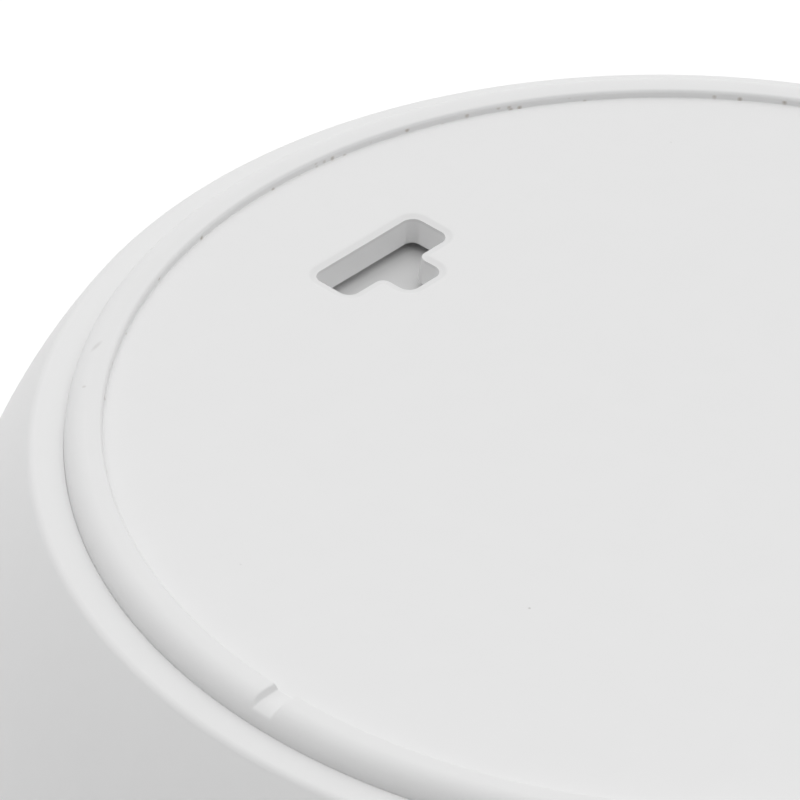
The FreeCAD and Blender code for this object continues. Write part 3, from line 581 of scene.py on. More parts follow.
def from_axis(nodes):
    """The distance from the device's axis."""
    flat = nodes.add("ShaderNodeVectorMath", operation="MULTIPLY")
    nodes.link(nodes.place, flat.inputs[0])
    flat.inputs[1].default_value = (1.0, 1.0, 0.0)
    size = nodes.add("ShaderNodeVectorMath", operation="LENGTH")
    nodes.link(flat.outputs[0], size.inputs[0])
    return size.outputs["Value"]


def specks(nodes, scale, full, gone, share):
    """Small round specks: their inner and outer radius in cells, and the share of cells with one."""
    cells = nodes.texture("ShaderNodeTexVoronoi", Scale=scale, feature="F1")
    near = nodes.between(cells.outputs["Distance"], 1.0, 0.0, full, gone)
    picked = nodes.add("ShaderNodeSeparateColor")
    nodes.link(cells.outputs["Color"], picked.inputs["Color"])
    return nodes.product(near, nodes.between(picked.outputs["Red"], 1.0, 0.0, share, share + 0.005))


def mark(nodes, centre, size, turned):
    """A small soft mark round a point, its half sizes in millimetres."""
    lie = nodes.texture("ShaderNodeMapping", vector_type="TEXTURE")
    lie.inputs["Location"].default_value = [value * MM for value in centre]
    lie.inputs["Rotation"].default_value = (0.0, 0.0, math.radians(turned))
    lie.inputs["Scale"].default_value = [value * MM for value in size]
    spot = nodes.add("ShaderNodeTexGradient", gradient_type="SPHERICAL")
    nodes.link(lie.outputs[0], spot.inputs[0])
    return nodes.between(spot.outputs["Fac"], 0.0, 1.0, 0.0, 0.7)


def shade_slot(nodes, radius, height):
    """Painted light on the walls and underside of the slot, and painted shade in the sink round it."""
    in_plate = nodes.under(radius, DISC_RADIUS - 2.0, DISC_RADIUS - 1.5)
    wall = nodes.under(height, DISC_Z - 0.28, DISC_Z - 0.2)
    # Painted light: the slot's walls and the plate's underside drawn lighter
    nodes.paint(tinted(WHITE, PAINTED_LIGHT), in_plate, wall)
    # Painted shade: the shallow sink round the slot drawn darker
    sunk = nodes.under(height, DISC_Z - 0.024, DISC_Z - 0.004)
    not_edge = nodes.over(height, DISC_Z - 0.09, DISC_Z - 0.084)
    nodes.paint(tinted(WHITE, SINK_PAINTED_SHADE), in_plate, sunk, not_edge)


def shade_ring_corner(nodes, radius, height):
    """Painted light in the corner inside the ring, with specks of dirt low in it."""
    # Painted light: the corner inside the ring drawn lighter
    inside = nodes.over(radius, DISC_RADIUS - 0.07, DISC_RADIUS - 0.04)
    outside = nodes.under(radius, DISC_RADIUS + 0.02, DISC_RADIUS + 0.05)
    nodes.paint(tinted(WHITE, PAINTED_LIGHT), inside, outside)
    low = nodes.under(height, DISC_Z + 0.22, DISC_Z + 0.3)
    dirt = specks(nodes, scale=1700.0, full=0.06, gone=0.3, share=0.7)
    nodes.paint(DIRT, inside, outside, low, dirt)


def cover_material():
    """The cover's plastic, with a little dust, painted light and painted shade at the slot and in the
    ring's corner, dirt inside the ring and two faint marks on it.
    """
    nodes = case_plastic("cover_white")
    nodes.paint(DUST, specks(nodes, scale=545.0, full=0.02, gone=0.05, share=0.07))
    radius = from_axis(nodes)
    height = nodes.parts()[2]
    shade_slot(nodes, radius, height)
    shade_ring_corner(nodes, radius, height)
    for centre, size, turned, colour in RING_MARKS:
        nodes.paint(colour, mark(nodes, centre, size, turned))
    return nodes


def housing_material():
    """The housing's plastic, with painted shade on the back wall where it is seen through the slot."""
    nodes = case_plastic("housing_white")
    across, along, _ = nodes.parts()
    # Painted shade on the back wall under the slot
    in_width = nodes.under(computed(nodes.tree, "ABSOLUTE", across), *SHADE_SIDE)
    past_far = nodes.over(along, *SHADE_FAR)
    before_near = nodes.under(along, *SHADE_NEAR)
    nodes.paint(SLOT_FLOOR_SHADE, in_width, past_far, before_near)
    return nodes


# Cover
def slot_loop(offset):
    """The T slot's outline, moved outwards."""
    half, stub = SLOT_HALF, SLOT_STUB_HALF
    across = [-half, half, half, stub, stub, -stub, -stub, -half]
    along = [SLOT_OUTER, SLOT_OUTER, SLOT_INNER, SLOT_INNER, SLOT_TIP, SLOT_TIP, SLOT_INNER, SLOT_INNER]
    corners = [(SLOT_ASIDE + x, y) for x, y in zip(across, along)]
    return rounded_loop(corners, SLOT_ROUND, SLOT_INNER_ROUND, offset)


def cover_profile():
    """The ring and the skirt, from the disc's edge outwards and down to the plate's underside."""
    shoulder = RING_RADIUS - RING_ROUND
    skirt_in = RING_RADIUS - SKIRT_WALL
    skirt_foot = SKIRT_Z + SKIRT_ROUND
    return [
        (DISC_RADIUS - RING_FOOT, DISC_Z),
        *arc(DISC_RADIUS - RING_FOOT, DISC_Z + RING_FOOT, RING_FOOT, -90, 0, 4)[1:],
        *arc(DISC_RADIUS + RING_LIP, RING_TOP - RING_LIP, RING_LIP, 180, 90, 6),
        *arc(shoulder, RING_TOP - RING_ROUND, RING_ROUND, 90, 0, 24),
        (RING_RADIUS, BEAD_Z + BEAD_HALF),
        (RING_RADIUS, BEAD_Z),
        (RING_RADIUS, BEAD_Z - BEAD_HALF),
        *arc(RING_RADIUS - SKIRT_ROUND, skirt_foot, SKIRT_ROUND, 0, -90, 3),
        *arc(skirt_in + SKIRT_ROUND, skirt_foot, SKIRT_ROUND, -90, -180, 3),
        (skirt_in, PLATE_Z - PLATE_ROUND),
        *arc(skirt_in - PLATE_ROUND, PLATE_Z - PLATE_ROUND, PLATE_ROUND, 0, 90, 3)[1:],
    ]


def notch_floor(r, z):
    """The notch's floor where it is lower than the ring: flat, then falling at the ring's shoulder."""
    shoulder = max(r - RING_RADIUS + NOTCH_FALL_LONG, 0.0) ** 2 * NOTCH_FALL
    end = max(r - RING_RADIUS + NOTCH_END_LONG, 0.0) ** 2 * NOTCH_END
    return min(z, DISC_Z + NOTCH_FLOOR - shoulder - end)


def notch_columns(profile, half):
    """The profile's points across the notch: a soft slope down, the floor, and the same back up."""
    slope = [half + NOTCH_SOFT * (1 - n / 4) for n in range(9)]
    columns = []
    for y in [-y for y in slope] + slope[::-1]:
        part = (half + NOTCH_SOFT - abs(y)) / (2 * NOTCH_SOFT)
        share = part * part * (3 - 2 * part)
        column = []
        for r, z in profile:
            column.append((math.sqrt(r * r - y * y), y, z + (notch_floor(r, z) - z) * share))
        columns.append(column)
    return columns


def bead_bulge(angle, z):
    """How far the skirt stands out at one of the four snap beads, halfway between the axes."""
    if abs(z - BEAD_Z) > 1e-6:
        return 0.0
    from_middle = abs(math.degrees(angle) % 90.0 - 45.0)
    return BEAD_PROUD * min(max((BEAD_SPAN / 2 - from_middle) / BEAD_FADE, 0.0), 1.0)


def cover_shell():
    """The ring and the skirt as columns of points round the axis. The last repeats the first."""
    profile = cover_profile()
    half, clear = NOTCH_WIDTH / 2, 0.004
    gap = math.asin((half + NOTCH_SOFT) / DISC_RADIUS) + clear
    columns = []
    for n in range(SHELL_TURNS + 1):
        angle = gap + (2 * math.pi - 2 * gap) * n / SHELL_TURNS
        column = []
        for r, z in profile:
            wide = r + bead_bulge(angle, z)
            column.append((wide * math.cos(angle), wide * math.sin(angle), z))
        columns.append(column)
    columns += notch_columns(profile, half)
    columns.append(columns[0])
    count = len(profile)
    points = [point for column in columns for point in column]
    faces = []
    for n in range(len(columns) - 1):
        here, there = n * count, (n + 1) * count
        for k in range(count - 1):
            faces.append((here + k, there + k, there + k + 1, here + k + 1))
    return moved((points, faces), turned_about_z(NOTCH_ANGLE))


def build_cover():
    """The disc with its slot, the ring with its notch, and the skirt."""
    points, faces = cover_shell()
    count = len(cover_profile())
    rim = [point[:2] for point in points[:-count:count]]
    under = [point[:2] for point in points[count - 1:-count:count]]
    rings = [[(x, y, DISC_Z - drop) for x, y in slot_loop(out)] for out, drop in SLOT_LIP]
    rings += [[(x, y, PLATE_Z - COLLAR + up) for x, y in slot_loop(out)] for out, up in SLOT_FOOT]
    wall = stack(rings, closed=False)
    top = holed_plate(rim, slot_loop(SLOT_LIP[0][0]), DISC_Z)
    bottom = holed_plate(under, slot_loop(SLOT_FOOT[-1][0]), PLATE_Z)
    item = make_object("cover_shell", joined((points, faces), wall, top, bottom))
    finish_piece(item, cover_material(), "cover", ["back_cover"])


# Housing
def housing_outside():
    """The side wall and the rounded corner at the rim."""
    turned = math.degrees(math.asin((RIM_Z - BELLY_Z) / SIDE_ARC)) - 0.5
    side = arc(SIDE_CENTRE, BELLY_Z, SIDE_ARC, 0, turned, 40)
    edge_r, edge_z = side[-1]
    way = math.radians(turned)
    corner_z = RIM_Z - RIM_ROUND
    rise = corner_z + RIM_ROUND * math.sin(way) - edge_z
    corner_r = edge_r - RIM_ROUND * math.cos(way) - rise * math.tan(way)
    return side + arc(corner_r, corner_z, RIM_ROUND, turned, 90, 8)


def housing_profile():
    """The side wall, the rim, the channel for the cover's skirt and the back wall."""
    inner_arc = SIDE_ARC - HOUSING_WALL
    under = CHANNEL_Z - BACK_WALL
    shoulder = SIDE_CENTRE + math.sqrt(inner_arc**2 - (under - BELLY_Z) ** 2)
    inner_turn = math.degrees(math.asin((under - BELLY_Z) / inner_arc))
    return [
        *housing_outside(),
        *arc(LIP_RADIUS + LIP_ROUND, RIM_Z - LIP_ROUND, LIP_ROUND, 90, 180, 5),
        (LIP_RADIUS, RIM_Z - LIP_DEPTH),
        (BORE_RADIUS, RIM_Z - LIP_DEPTH - 0.2),
        (BORE_RADIUS, CHANNEL_Z),
        (CHANNEL_RADIUS, CHANNEL_Z),
        *arc(CHANNEL_RADIUS - 0.15, BACK_Z - 0.15, 0.15, 0, 90, 4),
        (0.0, BACK_Z),
        (0.0, BACK_Z - BACK_WALL),
        (CHANNEL_RADIUS - BACK_WALL, BACK_Z - BACK_WALL),
        (CHANNEL_RADIUS - BACK_WALL, under),
        (shoulder, under),
        *arc(SIDE_CENTRE, BELLY_Z, inner_arc, inner_turn, 0, 12)[1:],
    ]


def vent_cutter(angle):
    """An upright slot with round ends through the side wall, at an angle from the middle vent."""
    radius = VENT_WIDTH / 2
    top, foot = VENT_HIGH - radius, VENT_LOW + radius
    ends = arc(0.0, top, radius, 0, 180, 8) + arc(0.0, foot, radius, 180, 360, 8)
    rings = [[(x, -reach, z) for x, z in ends] for reach in WALL_REACH]
    return moved(stack(rings), turned_about_z(angle))


def button_loop(offset):
    """The button's outline, moved outwards, as x and height."""
    loop = rounded_loop(rectangle(BUTTON_HALF_X, BUTTON_HALF_Z), BUTTON_ROUND, BUTTON_ROUND, offset)
    return [(x, z + BUTTON_Z) for x, z in loop]


def housing_holes():
    """The openings over the wells and the screws, the vents and the button's hole."""
    under, over = BACK_Z - 2.0, BACK_Z + 1.0
    holes = [slab(rectangle(WELL_X, WELL_Y), under, over)]
    for place in SCREW_PLACES:
        sink = [(0, under), (SINK_RADIUS, under), (SINK_RADIUS, over), (0, over)]
        holes.append(lathe(sink, SCREW_TURNS, place))
    for n in range(VENT_COUNT):
        holes.append(vent_cutter(VENT_STEP * (n - (VENT_COUNT - 1) / 2)))
    holes.append(stack([[(x, y, z) for x, z in button_loop(BUTTON_GAP)] for y in WALL_REACH]))
    return joined(*holes)


def trough_cutter():
    """The two wells, a long shape along X."""
    drop = math.degrees(math.asin((CELL_Y - TROUGH_RIDGE) / TROUGH_RADIUS))
    section = [(WELL_Y, BACK_Z + 1.0), (-WELL_Y, BACK_Z + 1.0)]
    section += arc(-CELL_Y, CELL_Z, TROUGH_RADIUS, 180, 270 + drop, 20)
    section += arc(CELL_Y, CELL_Z, TROUGH_RADIUS, 270 - drop, 360, 20)
    return stack([[(x, y, z) for y, z in section] for x in (-WELL_X, WELL_X)])


def leaf_cutters():
    """The openings for the contacts' legs at one end of the wells."""
    inner = WELL_X - LEAF_DEEP
    cutters = []
    for y in (-CELL_Y, CELL_Y):
        low, high = y - LEAF_HALF, y + LEAF_HALF
        outline = [(inner, low), (WELL_X, low), (WELL_X, high), (inner, high)]
        cutters.append(slab(outline, WELL_UNDER_Z - 1, CELL_Z))
    return joined(*cutters)


def boss(place):
    """A screw boss with its sink."""
    foot, top = BOARD_HIGH[2], BACK_Z - BACK_WALL
    profile = [
        (BOSS_HOLE, foot), (BOSS_RADIUS - 0.2, foot), (BOSS_RADIUS, foot + 0.2), (BOSS_RADIUS, top),
        (SINK_RADIUS, top), (SINK_RADIUS, SCREW_SEAT), (BOSS_HOLE, SCREW_SEAT),
    ]
    return lathe(profile, SCREW_TURNS, place)


def build_housing():
    """The shell, the wells for the cells and the screw bosses."""
    white = housing_material()
    shell = make_object("housing_shell", lathe(housing_profile()))
    carve(shell, housing_holes())
    finish_piece(shell, white, "casing", ["rear_housing"])
    outline = rectangle(WELL_X + WELL_WALL, WELL_Y + WELL_WALL)
    wells = make_object("housing_wells", slab(outline, WELL_UNDER_Z, BACK_Z - BACK_WALL))
    carve(wells, trough_cutter())
    carve(wells, leaf_cutters())
    finish_piece(wells, white, "casing")
    bosses = make_object("screw_bosses", joined(*[boss(place) for place in SCREW_PLACES]))
    finish_piece(bosses, white, "casing")


# Front bezel
def bezel_profile():
    """The front ring with the window's pocket, the lap inside the housing and the plate."""
    pocket = WINDOW_HIGH[0] + WINDOW_GAP
    shoulder = BELLY_Z - SEAM
    turned = -math.degrees(math.asin(SEAM / BELLY_Z))
    return [
        *arc(pocket + POCKET_ROUND, POCKET_ROUND, POCKET_ROUND, 180, 270, 4),
        *arc(BELLY_RADIUS - BELLY_Z, BELLY_Z, BELLY_Z, -90, turned - 0.6, 32),
        *arc(BELLY_RADIUS - 0.16, shoulder - SEAM_ROUND, SEAM_ROUND, 15, 90, 4),
        (LAP_RADIUS, shoulder),
        (LAP_RADIUS, BEZEL_HIGH[2] - 0.12),
        (LAP_RADIUS - 0.12, BEZEL_HIGH[2]),
        (LAP_RADIUS - LAP_WALL, BEZEL_HIGH[2]),
        (LAP_RADIUS - LAP_WALL, BEZEL_BACK),
        (0.0, BEZEL_BACK),
        (0.0, BEZEL_SEAT),
        (pocket, BEZEL_SEAT),
    ]


def post(place):
    """A screw post with its hole."""
    top = BOARD_LOW[2]
    profile = [
        (0.0, BEZEL_BACK), (POST_RADIUS, BEZEL_BACK), (POST_RADIUS, top - 0.15), (POST_RADIUS - 0.15, top),
        (POST_HOLE + 0.1, top), (POST_HOLE, top - 0.1), (POST_HOLE, top - POST_HOLE_DEEP),
        (0.0, top - POST_HOLE_DEEP),
    ]
    return lathe(profile, POST_TURNS, place)


def build_bezel():
    """The bezel with its opening for the display, and the screw posts."""
    white = case_plastic("bezel_white")
    shell = make_object("bezel_shell", lathe(bezel_profile()))
    half_x, half_y = GLASS_HIGH[0] + GLASS_GAP, GLASS_HIGH[1] + GLASS_GAP
    carve(shell, slab(rectangle(half_x, half_y), 1.0, 5.0))
    finish_piece(shell, white, "casing", ["front_bezel"])
    posts = make_object("screw_posts", joined(*[post(place) for place in SCREW_PLACES]))
    finish_piece(posts, white, "casing")


# Button
def button_ring(offset, drop):
    """A ring of the button's outline that follows the curved side, set back by a drop."""
    front = BUTTON_HIGH[1]
    ring = []
    for x, z in button_loop(offset):
        crown = BUTTON_CROWN * ((z - BUTTON_Z) / BUTTON_HALF_Z) ** 2
        ring.append((x, math.sqrt(front**2 - x * x) - drop - crown, z))
    return ring


def build_button():
    """The key: its flange, its crowned face with rounded edges, and its stem to the switch."""
    rings = [[(x, FLANGE_Y - deep, z) for x, z in button_loop(out)] for deep, out in FLANGE]
    for step in range(7):
        turned = math.radians(15 * step)
        inset, drop = BUTTON_EDGE * (1 - math.cos(turned)), BUTTON_EDGE * (1 - math.sin(turned))
        rings.append(button_ring(-inset, drop))
    rings += [button_ring(-inset, 0.0) for inset in FACE_INSETS]
    lie = Matrix.Translation((0, PLUNGER_HIGH[1], BUTTON_Z)) @ Matrix.Rotation(math.radians(-90), 4, "X")
    item = make_object("button_key", joined(stack(rings), moved(lathe(STEM, POST_TURNS), lie)))
    white = case_plastic("button_white", tinted(WHITE, 0.97))
    finish_piece(item, white, "button", ["button_cap"])


# Cells
def cell_wrap():
    """The wrap's profile, as radius and distance from the cell's flat end."""
    return [
        (4.55, 0.02), *arc(4.85, 0.4, 0.4, -90, 0, 5), (CELL_RADIUS, 0.6), (CELL_RADIUS, 43.0),
        *arc(4.85, 43.15, 0.4, 0, 90, 5), (3.9, 43.55), (3.9, 43.45), (4.7, 43.4), (5.1, 43.0),
        (5.1, 0.5), (4.55, 0.1),
    ]


def cell_can():
    """The can's profile with its button end, as radius and distance from the cell's flat end."""
    return [
        (0.0, 0.0), (3.6, 0.0), (3.9, 0.12), (4.2, 0.12), *arc(4.6, 0.52, 0.4, -90, 0, 4), (5.0, 43.0),
        *arc(4.6, 43.0, 0.4, 0, 90, 4), (3.3, 43.4), (3.2, 43.2), (2.7, 43.2), (2.5, 43.45), (2.2, 43.6),
        (1.95, 43.75), (1.9, 44.2), *arc(1.6, 44.2, 0.3, 0, 90, 4), (0.0, 44.5),
    ]


def wrap_material():
    """A plain two-tone shrink wrap: dark, with a brown band at one end of each cell."""
    nodes = grained("cell_wrap", (0.05, 0.055, 0.07), 0.28, grain=900.0, relief=0.003, shade=0.08)
    across, along, _ = nodes.parts()
    side = computed(nodes.tree, "SIGN", along)
    nodes.paint((0.55, 0.36, 0.16), nodes.under(nodes.product(across, side), *BAND_X))
    nodes.set(Coat_Weight=0.3, Coat_Roughness=0.1)
    return nodes


def build_cells():
    """Two cells, head to tail in their wells."""
    wrap_look = wrap_material()
    can_look = metal("cell_steel", (0.62, 0.62, 0.61), 0.3)
    for name, side in (("upper", 1), ("lower", -1)):
        turn = Matrix.Rotation(math.radians(-90 * side), 4, "Y")
        lie = Matrix.Translation((side * CELL_START, side * CELL_Y, CELL_Z)) @ turn
        wrap = make_object(f"cell_{name}_wrap", moved(lathe(cell_wrap(), CELL_TURNS), lie))
        finish_piece(wrap, wrap_look, "casing", [f"battery_cell_{name}"])
        can = make_object(f"cell_{name}_can", moved(lathe(cell_can(), CELL_TURNS), lie))
        finish_piece(can, can_look, "casing")


# Screws
def screw_profile():
    """The tip, the thread, the neck and the rounded head."""
    tip = BOARD_LOW[2] - SCREW_BITE
    profile = [(0.0, tip), (0.35, tip + 0.3)]
    z = tip + THREAD_PITCH
    while z < SCREW_SEAT - 2.2:
        crest, foot = z + THREAD_STEP, z + 2 * THREAD_STEP
        profile += [(SHANK_RADIUS, z), (THREAD_RADIUS, crest), (SHANK_RADIUS, foot)]
        z += THREAD_PITCH
    side_top = SCREW_SEAT + HEAD_SIDE
    profile += [
        (SHANK_RADIUS, SCREW_SEAT - 1.6), (THREAD_RADIUS, SCREW_SEAT - 1.4), (THREAD_RADIUS, SCREW_SEAT),
        (HEAD_RADIUS - 0.1, SCREW_SEAT), (HEAD_RADIUS, SCREW_SEAT + 0.12), (HEAD_RADIUS, side_top),
    ]
    profile += arc(HEAD_RADIUS - HEAD_CROWN, side_top, HEAD_CROWN, 0, 90, 8)[1:]
    profile.append((0.0, side_top + HEAD_CROWN))
    return profile


def recess_arm(place, turned):
    """One arm of the cross recess, narrower at its foot."""
    rings = []
    for half, wide, up in RECESS:
        rings.append([(x, y, SCREW_SEAT + up) for x, y in rectangle(half, wide)])
    return moved(stack(rings), Matrix.Translation((*place, 0)) @ turned_about_z(turned))


def build_screws():
    """Both screws, the first in place of the solid ones."""
    look = metal("screw_steel", (0.56, 0.55, 0.53), 0.3)
    for n, place in enumerate(SCREW_PLACES, start=1):
        item = make_object(f"screw_{n}", lathe(screw_profile(), SCREW_TURNS, place))
        for turned in RECESS_TURNS:
            carve(item, recess_arm(place, turned))
        finish_piece(item, look, "casing", ["housing_screws"] if n == 1 else ())


# Display
def on_glass(corners):
    """A flat mark of ink seen from the front, where right is -X."""
    return slab([(-x, y) for x, y in corners], INK_LOW, INK_HIGH)


def segment(start, finish, width, gap):
    """A bar with pointed ends from one point to another."""
    first, last = Vector(start), Vector(finish)
    along = (last - first).normalized()
    first, last = first + along * gap, last - along * gap
    side = Vector((-along.y, along.x)) * width / 2
    point = along * width / 2
    below = [first, first + point - side, last - point - side]
    above = [last, last - point + side, first + point + side]
    return [(corner.x, corner.y) for corner in below + above]


def digit(symbol, x, y, height, stroke):
    """A seven-segment digit round its middle."""
    bars = []
    for letter in DIGITS[symbol]:
        start, finish = [(x + a * height * DIGIT_WIDTH, y + b * height / 2) for a, b in SEGMENTS[letter]]
        bars.append(on_glass(segment(start, finish, stroke, stroke * DIGIT_GAP)))
    return bars


def ring_sign(x, y, outer, inner):
    """A small ring of ink, such as a degree sign."""
    profile = [(inner, INK_LOW), (outer, INK_LOW), (outer, INK_HIGH), (inner, INK_HIGH)]
    return lathe(profile, SMALL_TURNS, (-x, y))


def build_digits():
    """A temperature above and a humidity below, in plain segments."""
    marks = []
    for y, height, stroke, symbols in DIGIT_ROWS:
        for symbol, x in symbols:
            marks += digit(symbol, x, y, height, stroke)
    marks.append(on_glass([(POINT_X + x, POINT_Y + y) for x, y in rectangle(POINT_HALF, POINT_HALF)]))
    marks.append(on_glass(segment(*PER_CENT_BAR, PER_CENT_STROKE, 0.0)))
    marks += [ring_sign(*sign) for sign in RING_SIGNS]
    look = grained("digit_ink", (0.03, 0.035, 0.04), 0.5, shade=0.1)
    finish_piece(make_object("display_digits", joined(*marks)), look, "casing")


def build_window_print():
    """The white print behind the window, open over the display."""
    outer = arc(0.0, 0.0, WINDOW_HIGH[0] - 0.1, 0, 357.75, 159)
    inner = rounded_loop(rectangle(OPENING_X, OPENING_Y), OPENING_ROUND, OPENING_ROUND)
    low, high = PRINT_Z, PRINT_Z + PRINT_THICK
    faces = joined(holed_plate(outer, inner, low), holed_plate(outer, inner, high),
                   slab(outer, low, high, closed=False), slab(inner, low, high, closed=False))
    look = grained("window_print", (0.82, 0.82, 0.82), 0.6, grain=4000.0, relief=0.001, shade=0.01)
    finish_piece(make_object("window_print", faces), look, "casing")


# Driver pins and solder
def driver_pins():
    """A row of bent pins on each side of the driver."""
    half = (DRIVER_HIGH[0] - DRIVER_LOW[0]) / 2
    middle = [(low + high) / 2 for low, high in zip(DRIVER_LOW[:2], DRIVER_HIGH[:2])]
    section = [(half + out, BOARD_HIGH[2] + up) for out, up in PIN_SECTION]
    pins = []
    for quarter in range(4):
        turn = Matrix.Translation((*middle, 0)) @ turned_about_z(90 * quarter)
        for n in range(PIN_COUNT):
            y = PIN_FIRST + PIN_PITCH * n
            rings = [[(x, y + side, z) for x, z in section] for side in (-PIN_HALF, PIN_HALF)]
            pins.append(moved(stack(rings), turn))
    return joined(*pins)


def leg_solder():
    """Lumps of solder under the board where the contacts' legs come through."""
    profile = [(r, BOARD_LOW[2] - drop) for r, drop in SOLDER]
    return joined(*[lathe(profile, SMALL_TURNS, (WELL_X - 0.2, y)) for y in (-CELL_Y, CELL_Y)])


def build_board_details():
    """The driver's pins and the solder."""
    tin = metal("tin", (0.7, 0.7, 0.68), 0.28)
    finish_piece(make_object("driver_pins", driver_pins()), tin, "casing")
    finish_piece(make_object("leg_solder", leg_solder()), tin, "casing")


# Materials of the CAD pieces that stay
def board_material():
    """Green solder mask with faint raised tracks."""
    nodes = grained("board_green", (0.012, 0.11, 0.045), 0.3, grain=1200.0, relief=0.0, shade=0.12)
    tracks = nodes.texture(
        "ShaderNodeTexBrick", Scale=230.0, Mortar_Size=0.06, Brick_Width=0.9, Row_Height=0.32)
    for key, grey in (("Color1", 0), ("Color2", 0), ("Mortar", 1)):
        tracks.inputs[key].default_value = (grey, grey, grey, 1)
    nodes.paint((0.03, 0.2, 0.08), tracks.outputs["Color"])
    nodes.bump(tracks.outputs["Color"], 0.3, 0.02)
    nodes.set(Coat_Weight=0.4, Coat_Roughness=0.15)
    return nodes


def glass_material(name, colour, transmission):
    """Clear sheet with faint waves."""
    nodes = grained(name, colour, 0.06, grain=60.0, relief=0.001, shade=0.01)
    nodes.set(Transmission_Weight=transmission, IOR=1.49)
    return nodes


def radio_material():
    """Dark board with a bright antenna track along one end."""
    nodes = grained("radio_dark", (0.01, 0.03, 0.06), 0.35, grain=1500.0, relief=0.002, shade=0.15)
    checks = nodes.texture("ShaderNodeTexChecker", Scale=500.0)
    nodes.paint((0.7, 0.5, 0.2), nodes.over(nodes.parts()[1], 24.6, 24.7), checks.outputs["Fac"])
    return nodes


def rubber_material():
    """Thin dark layers across the strips."""
    nodes = grained("zebra_rubber", (0.42, 0.42, 0.42), 0.7, shade=0.05)
    wave = nodes.texture("ShaderNodeTexWave", Scale=900.0, bands_direction="X")
    nodes.paint((0.03, 0.03, 0.03), nodes.between(wave.outputs["Fac"], 0.0, 1.0))
    return nodes


def ceramic_material():
    """Brown ceramic with tinned ends."""
    nodes = grained("ceramic", (0.3, 0.2, 0.12), 0.45, shade=0.1)
    low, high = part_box("chip_capacitors")
    off_middle = computed(nodes.tree, "SUBTRACT", nodes.parts()[0], (low[0] + high[0]) / 2)
    end = nodes.over(computed(nodes.tree, "ABSOLUTE", off_middle), 0.48, 0.50)
    nodes.paint((0.7, 0.7, 0.68), end)
    nodes.link(end, nodes.shader.inputs["Metallic"])
    return nodes


def sensor_material():
    """A white package with a dark opening in the middle."""
    nodes = grained("sensor_white", (0.7, 0.7, 0.67), 0.5, shade=0.03)
    low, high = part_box("humidity_sensor_chip")
    away = nodes.add("ShaderNodeVectorMath", operation="DISTANCE")
    nodes.link(nodes.place, away.inputs[0])
    away.inputs[1].default_value = ((low[0] + high[0]) / 2, (low[1] + high[1]) / 2, high[2])
    nodes.paint((0.02, 0.02, 0.02), nodes.under(away.outputs["Value"], 0.50, 0.55))
    return nodes


def dress_nodes():
    """Materials for the CAD pieces that are shown as they are."""
    plain = {
        "window_adhesive": grained("tape_grey", (0.5, 0.5, 0.48), 0.6, shade=0.05),
        "lcd_front_polariser": grained("film_grey", (0.42, 0.46, 0.4), 0.35, grain=3000.0, shade=0.02),
        "lcd_front_glass": glass_material("front_glass", (0.8, 0.88, 0.84), 0.85),
        "lcd_rear_glass": glass_material("rear_glass", (0.78, 0.88, 0.83), 0.85),
        "lcd_rear_polariser": grained("reflector", (0.5, 0.52, 0.48), 0.3, metallic=0.6, shade=0.04),
        "lcd_holder": grained("holder_white", (0.72, 0.72, 0.7), 0.5, shade=0.02),
        "zebra_strips": rubber_material(),
        "circuit_board": board_material(),
        "display_driver_chip": grained("chip_black", (0.02, 0.02, 0.021), 0.55, grain=4000.0),
        "radio_board": radio_material(),
        "radio_shield": metal("shield_tin", (0.68, 0.68, 0.66), 0.32),
        "crystal_can": metal("crystal_tin", (0.7, 0.69, 0.66), 0.22),
        "chip_capacitors": ceramic_material(),
        "humidity_sensor_chip": sensor_material(),
        "storage_capacitor": metal("capacitor_aluminium", (0.7, 0.71, 0.73), 0.3),
        "switch_body": grained("switch_black", (0.025, 0.025, 0.027), 0.5),
        "switch_plunger": grained("plunger_cream", (0.62, 0.58, 0.48), 0.45),
        "display_window": glass_material("window_clear", (0.97, 0.98, 0.98), 1.0),
    }
    for name, after in (("bridge", ""), ("negative", "_b"), ("positive", "_c")):
        plain[f"{name}_contact"] = metal(f"contact_nickel{after}", (0.66, 0.64, 0.6), 0.26)
    for name, look in plain.items():
        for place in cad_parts[name].material_slots:
            place.material = look.material


# Floor, light and camera
def plain_rays(tree, path):
    """1 for the rays that show the white background: from the camera, through glass and off gloss."""
    seen = path.outputs["Is Camera Ray"]
    for name in ("Is Glossy Ray", "Is Transmission Ray"):
        seen = computed(tree, "MAXIMUM", seen, path.outputs[name])
    return seen


def build_stage():
    """A white floor that takes soft shadows and looks plain white elsewhere."""
    mesh = bpy.data.meshes.new("floor")
    mesh.from_pydata([(x, y, 0) for x, y in rectangle(FLOOR_HALF, FLOOR_HALF)], [], [(0, 1, 2, 3)])
    floor = bpy.data.objects.new("floor", mesh)
    bpy.context.scene.collection.objects.link(floor)
    floor.location.z = FLOOR_Z
    nodes = Nodes("floor_white")
    base = nodes.blend(nodes.noise(40.0), (0.89, 0.89, 0.89), (0.91, 0.91, 0.91))
    nodes.link(base, nodes.shader.inputs["Base Color"])
    nodes.set(Roughness=1.0, Specular_IOR_Level=0.0, Emission_Color=(1, 1, 1, 1))
    seen = plain_rays(nodes.tree, nodes.add("ShaderNodeLightPath"))
    nodes.link(nodes.between(seen, 0.0, FLOOR_GLOW, 0.0, 1.0), nodes.shader.inputs["Emission Strength"])
    mesh.materials.append(nodes.material)


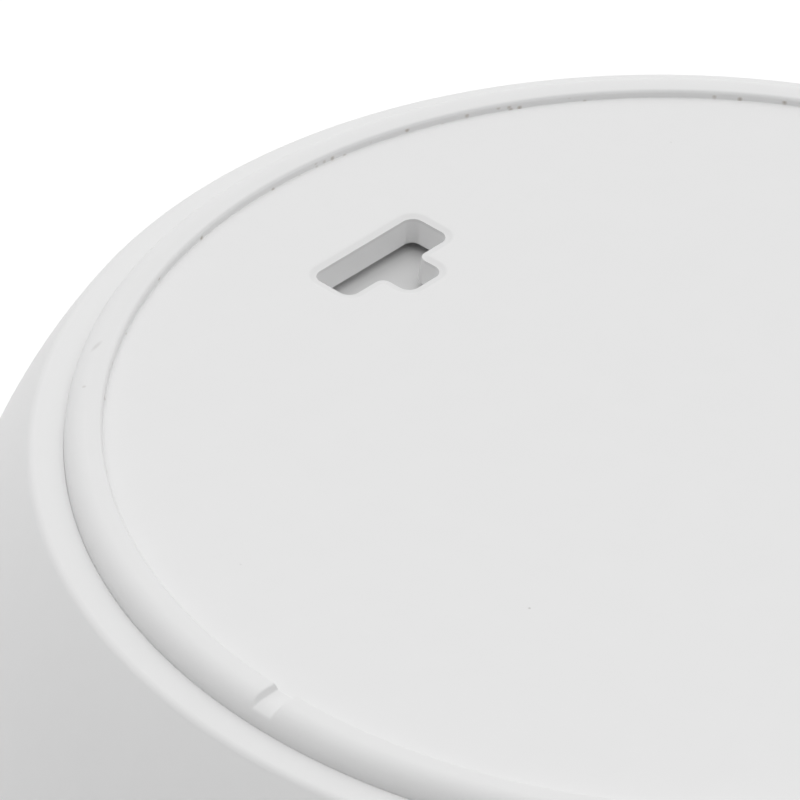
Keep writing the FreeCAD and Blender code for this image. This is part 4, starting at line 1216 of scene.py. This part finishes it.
def sky_strength(tree):
    """The light's level by its way: most from overhead, and more from one side up to a limit."""
    way = tree.nodes.new("ShaderNodeTexCoord").outputs["Generated"]
    slope = tree.nodes.new("ShaderNodeVectorMath")
    slope.operation = "DOT_PRODUCT"
    tree.links.new(way, slope.inputs[0])
    slope.inputs[1].default_value = SKY_SLOPE
    side = computed(tree, "MINIMUM", slope.outputs["Value"], SKY_SIDE)
    above = computed(tree, "MAXIMUM", parts_of(tree, way)[2], 0.0)
    lobe = computed(tree, "POWER", above, SKY_LOBE)
    top = computed(tree, "MULTIPLY_ADD", lobe, SKY_TOP, SKY_LEVEL)
    return computed(tree, "ADD", side, top)


def build_world():
    """A soft white room with its light overhead and a little behind, plain white where it is seen."""
    world = bpy.data.worlds.new("studio")
    bpy.context.scene.world = world
    world.use_nodes = True
    tree = world.node_tree
    tree.nodes.clear()
    soft = tree.nodes.new("ShaderNodeBackground")
    tree.links.new(sky_strength(tree), soft.inputs["Strength"])
    seen = tree.nodes.new("ShaderNodeBackground")
    choose = tree.nodes.new("ShaderNodeMixShader")
    tree.links.new(plain_rays(tree, tree.nodes.new("ShaderNodeLightPath")), choose.inputs[0])
    tree.links.new(soft.outputs[0], choose.inputs[1])
    tree.links.new(seen.outputs[0], choose.inputs[2])
    finish = tree.nodes.new("ShaderNodeOutputWorld")
    tree.links.new(choose.outputs[0], finish.inputs["Surface"])


def build_camera():
    """The photograph's view: a long lens from about 36 degrees above, tilted a little."""
    roll = Matrix.Rotation(math.radians(CAMERA_ROLL), 3, "Z")
    view = roll @ Matrix.Rotation(math.radians(CAMERA_TILT), 3, "X")
    turn = Matrix.Rotation(math.radians(CAMERA_HEADING), 3, "Z")
    shift = Vector(CAMERA_SHIFT) * DISC_RADIUS * MM
    where = turn @ -(view.transposed() @ shift) + Vector((0, 0, DISC_Z * MM))
    axes = turn @ view.transposed() @ Matrix.Diagonal((1, -1, -1))
    camera = bpy.data.objects.new("camera", bpy.data.cameras.new("camera"))
    camera.matrix_world = Matrix.Translation(where) @ axes.to_4x4()
    camera.data.lens = CAMERA_LENS
    camera.data.sensor_width = CAMERA_SENSOR
    camera.data.clip_start = 0.01
    camera.data.clip_end = 20.0
    bpy.context.scene.collection.objects.link(camera)
    bpy.context.scene.camera = camera


build_cover()
build_housing()
build_bezel()
build_button()
build_cells()
build_screws()
build_digits()
build_window_print()
build_board_details()
dress_nodes()
build_stage()
build_world()
build_camera()
bpy.context.scene.view_settings.view_transform = "Standard"
